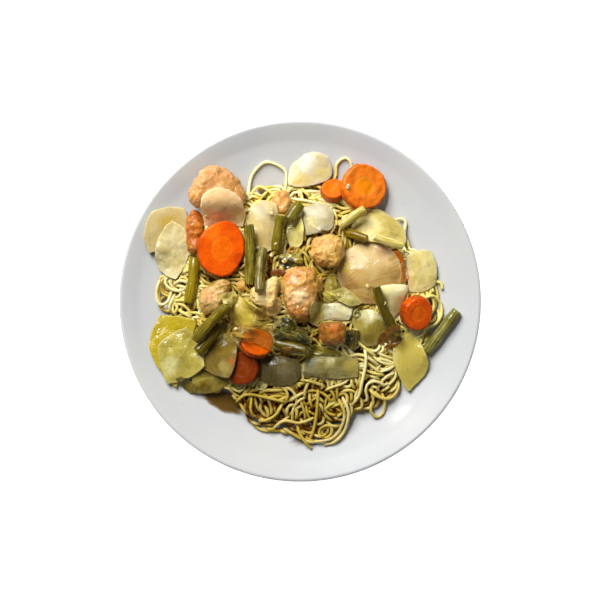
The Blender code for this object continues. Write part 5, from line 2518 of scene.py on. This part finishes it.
def loose_bits() -> list[Scrap | Ring]:
    """The small bits that lie between the toppings, from the lowest to the highest.

    Returns:
        The bits.
    """
    olive = LeafFinish((112, 100, 40), (70, 54, 6), (146, 134, 76))
    green = LeafFinish((58, 54, 12), (30, 26, 2), (112, 106, 48), shine=0.9)
    yellow = LeafFinish((196, 180, 92), (150, 130, 40), (224, 212, 144))
    stained = LeafFinish((116, 74, 14), (76, 42, 3), (150, 112, 40), shine=0.6)
    browned = ChickenFinish((206, 160, 74), (176, 124, 44), (160, 106, 26), (226, 182, 102))
    # golden_meat is painted lighter than the meat's own colour, to offset the shadow of the large chicken
    # piece beside its scrap
    golden_meat = ChickenFinish((240, 186, 84), (214, 150, 56), (190, 130, 36), (250, 214, 130))
    pale_meat = ChickenFinish((236, 200, 124), (206, 164, 84), (184, 140, 58), (248, 224, 168), 0.4)
    return [
        Scrap("leaf_scrap_front_left", ((174, 378), (184, 374), (201, 388), (192, 396)), olive),
        Scrap(
            "stained_onion_right", ((375, 338), (396, 322), (401, 329), (379, 347)),
            stained, 0.5, 0.5, 1.6, 1.0,
        ),
        Scrap(
            "stained_onion_low", ((383, 347), (398, 333), (402, 341), (388, 351)),
            stained, 0.3, 0.5, 1.6, 1.0,
        ),
        Scrap("stained_onion_front", ((280, 348), (292, 346), (293, 356), (282, 357)), stained),
        Scrap(
            "carrot_sliver_mid", ((268, 272), (284, 270), (286, 276), (270, 278)),
            LeafFinish((120, 66, 22), (78, 30, 4), (160, 116, 66)), 0.5,
        ),
        Scrap(
            "green_scrap_back", ((275, 260), (290, 259), (302, 267), (286, 271)), green, 0.7, crumpled=0.9,
        ),
        Scrap(
            "leaf_scrap_shaded", ((254, 309), (271, 307), (273, 321), (255, 321)),
            LeafFinish((176, 146, 56), (124, 96, 18), (220, 192, 112)), 1.0,
        ),
        Scrap("leaf_scrap_upper_left", ((221, 297), (236, 290), (240, 303), (226, 308)), yellow, 1.2),
        Scrap(
            "pale_meat_scrap", ((266, 301), (282, 297), (283, 314), (267, 319)), pale_meat, 2.6, 1.8,
            crumpled=0.8,
        ),
        Scrap(
            "golden_meat_scrap", ((316, 276), (324, 277), (323, 293), (315, 295)), golden_meat, 3.0, 1.6,
            crumpled=1.0,
        ),
        Scrap(
            "green_scrap_mid", ((276, 321), (287, 315), (300, 329), (284, 335)), green, 1.2, crumpled=1.4,
        ),
        Scrap(
            "green_scrap_low", ((272, 331), (279, 328), (288, 340), (276, 342)), green, 0.8, crumpled=1.2,
        ),
        Scrap(
            "green_scrap_edge", ((296, 334), (304, 333), (312, 344), (300, 345)), green, 0.6, crumpled=1.0,
        ),
        Scrap(
            "green_scrap_right", ((343, 331), (352, 330), (354, 343), (344, 345)), green, 0.6, crumpled=0.8,
        ),
        Scrap(
            "clear_onion_scrap", ((273, 320), (281, 319), (283, 327), (275, 329)),
            LeafFinish((128, 118, 74), (78, 66, 30), (170, 160, 110)),
        ),
        Scrap("leaf_scrap_mid", ((310, 304), (323, 302), (324, 324), (309, 326)), yellow, 0.6),
        Scrap(
            "leaf_fold_front", ((301, 349), (313, 343), (342, 352), (338, 358)),
            LeafFinish((138, 122, 36), (96, 80, 12), (182, 170, 92)), 1.0,
        ),
        Scrap(
            "pointed_leaf_scrap", ((319, 294), (328, 292), (340, 299), (331, 303)),
            LeafFinish((196, 180, 74), (140, 122, 30), (214, 202, 110)), 1.0,
        ),
        Scrap(
            "meat_scrap_right", ((397, 265), (406, 262), (409, 283), (399, 285)),
            ChickenFinish((222, 158, 84), (196, 110, 40), (190, 112, 40), (238, 196, 120)), 1.2, 1.4,
        ),
        Scrap("browned_scrap_left", ((236, 283), (244, 280), (248, 290), (239, 294)), browned, 1.2, 1.4),
        Scrap("meat_flake_front", ((294, 318), (302, 317), (303, 323), (296, 324)), browned, 0.6),
        Ring(
            "onion_curl_front", (262, 385), (4.6, 3.6),
            PetalFinish((190, 176, 116), (140, 120, 60), (212, 200, 150)), 20.0, 2.6, 0.2,
        ),
        Ring(
            "stalk_ring_right", (356, 315), (3.2, 3.0),
            LeafFinish((126, 118, 56), (92, 84, 30), (170, 166, 110)), 0.0, 2.0, 0.3,
        ),
        Ring("fried_ring_back", (292, 251), (3.2, 2.6), browned, 30.0, 2.2, 0.3),
    ]


GARLIC_BITS = (
    (347, 189, 4.2), (272, 214, 4.6), (208, 218, 3.4), (208, 229, 3.0), (258, 249, 3.0), (272, 256, 3.6),
    (285, 262, 4.2), (290, 258, 3.0), (237, 330, 3.6), (367, 287, 3.4), (383, 305, 2.6), (396, 320, 2.6),
    (326, 347, 2.4), (338, 296, 2.6), (282, 270, 3.0), (276, 246, 2.6), (274, 259, 3.2), (295, 262, 2.8),
)


class LightSide(Enum):
    """Where a lamp stands, as its direction from the plate."""

    KEY = (-0.5, 1.0, 1.05)
    FILL = (0.9, -0.7, 1.1)
    GLINT = (-0.45, 0.6, 1.4)


@dataclass
class Studio:
    """The floor, the lamps and the camera.

    Attributes:
        lens: The camera's focal length in millimetres.
        elevation: How high the camera looks down from, in degrees.
        view_width: The width of what the camera sees at the plate, in millimetres.
        aim: What it looks at, as a height above the table in millimetres.
        sensor: The width of its sensor in millimetres.
        sky_strength: How bright the room is.
        lamps: Each lamp's side, its size in metres and its power in watts.
    """

    lens: float = 90.0
    elevation: float = 86.5
    view_width: float = 448.0
    aim: float = 18.0
    sensor: float = 36.0
    sky_strength: float = 0.16
    lamps: tuple[tuple[LightSide, float, float], ...] = (
        (LightSide.KEY, 0.9, 29.8), (LightSide.FILL, 1.2, 0.4), (LightSide.GLINT, 0.1, 7.5),
    )

    def floor(self) -> None:
        """Lays the pale ground."""
        place = (0.0, 0.0, -0.2 * MM)
        ground = primitive(bpy.ops.mesh.primitive_plane_add, "floor", size=6.0, location=place)
        ground.data.materials.append(FloorFinish().material("floor"))

    def lamp(self, side: LightSide, size: float, power: float) -> None:
        """Hangs one soft lamp that looks at the plate.

        Args:
            side: Where it hangs.
            size: Its width in metres.
            power: Its power in watts.
        """
        light = bpy.data.lights.new(side.name.lower(), "AREA")
        light.shape, light.size, light.energy = "DISK", size, power
        made = placed(side.name.lower(), light)
        made.location = Vector(side.value)
        made.rotation_euler = (-Vector(side.value)).to_track_quat("-Z", "Y").to_euler()

    def sky(self) -> None:
        """Fills the room with even white light."""
        world = bpy.data.worlds.new("room")
        world.use_nodes = True
        back = world.node_tree.nodes["Background"]
        back.inputs["Color"].default_value = WHITE
        back.inputs["Strength"].default_value = self.sky_strength
        bpy.context.scene.world = world
        bpy.context.scene.view_settings.view_transform = "Standard"

    def camera(self) -> None:
        """Sets the camera over the plate, at the photograph's angle."""
        data = bpy.data.cameras.new("camera")
        data.lens, data.sensor_width = self.lens, self.sensor
        distance = self.view_width * MM * self.lens / data.sensor_width
        tilt = math.radians(self.elevation)
        made = placed("camera", data)
        target = Vector((0.0, 0.0, self.aim * MM))
        back = Vector((0.0, -math.cos(tilt), math.sin(tilt)))
        made.location = target + back * distance
        made.rotation_euler = (-back).to_track_quat("-Z", "Y").to_euler()
        data.clip_end = 20.0
        bpy.context.scene.camera = made

    def build(self) -> None:
        """Sets up the whole studio."""
        self.floor()
        self.sky()
        for side, size, power in self.lamps:
            self.lamp(side, size, power)
        self.camera()


def main() -> None:
    """Builds the plate, its food and the studio."""
    logging.basicConfig(level=logging.INFO, format="%(message)s")
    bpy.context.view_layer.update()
    plate = Plate()
    plate.build()
    toppings = [topping.build() for topping in plate_toppings()]
    NoodleHeap(toppings).build()
    SaucePool("sauce_pool_left", (223, 401), (19.0, 7.5), -26.0).build(plate)
    film = SauceFinish(strength=0.3)
    SaucePool("sauce_film_front", (318, 432), (24.0, 8.5), 20.0, 0.25, film).build(plate)
    for bit in loose_bits():
        bit.build()
    Crumbs("garlic_bits", GARLIC_BITS).build()
    Studio().build()


if __name__ == "__main__":
    main()
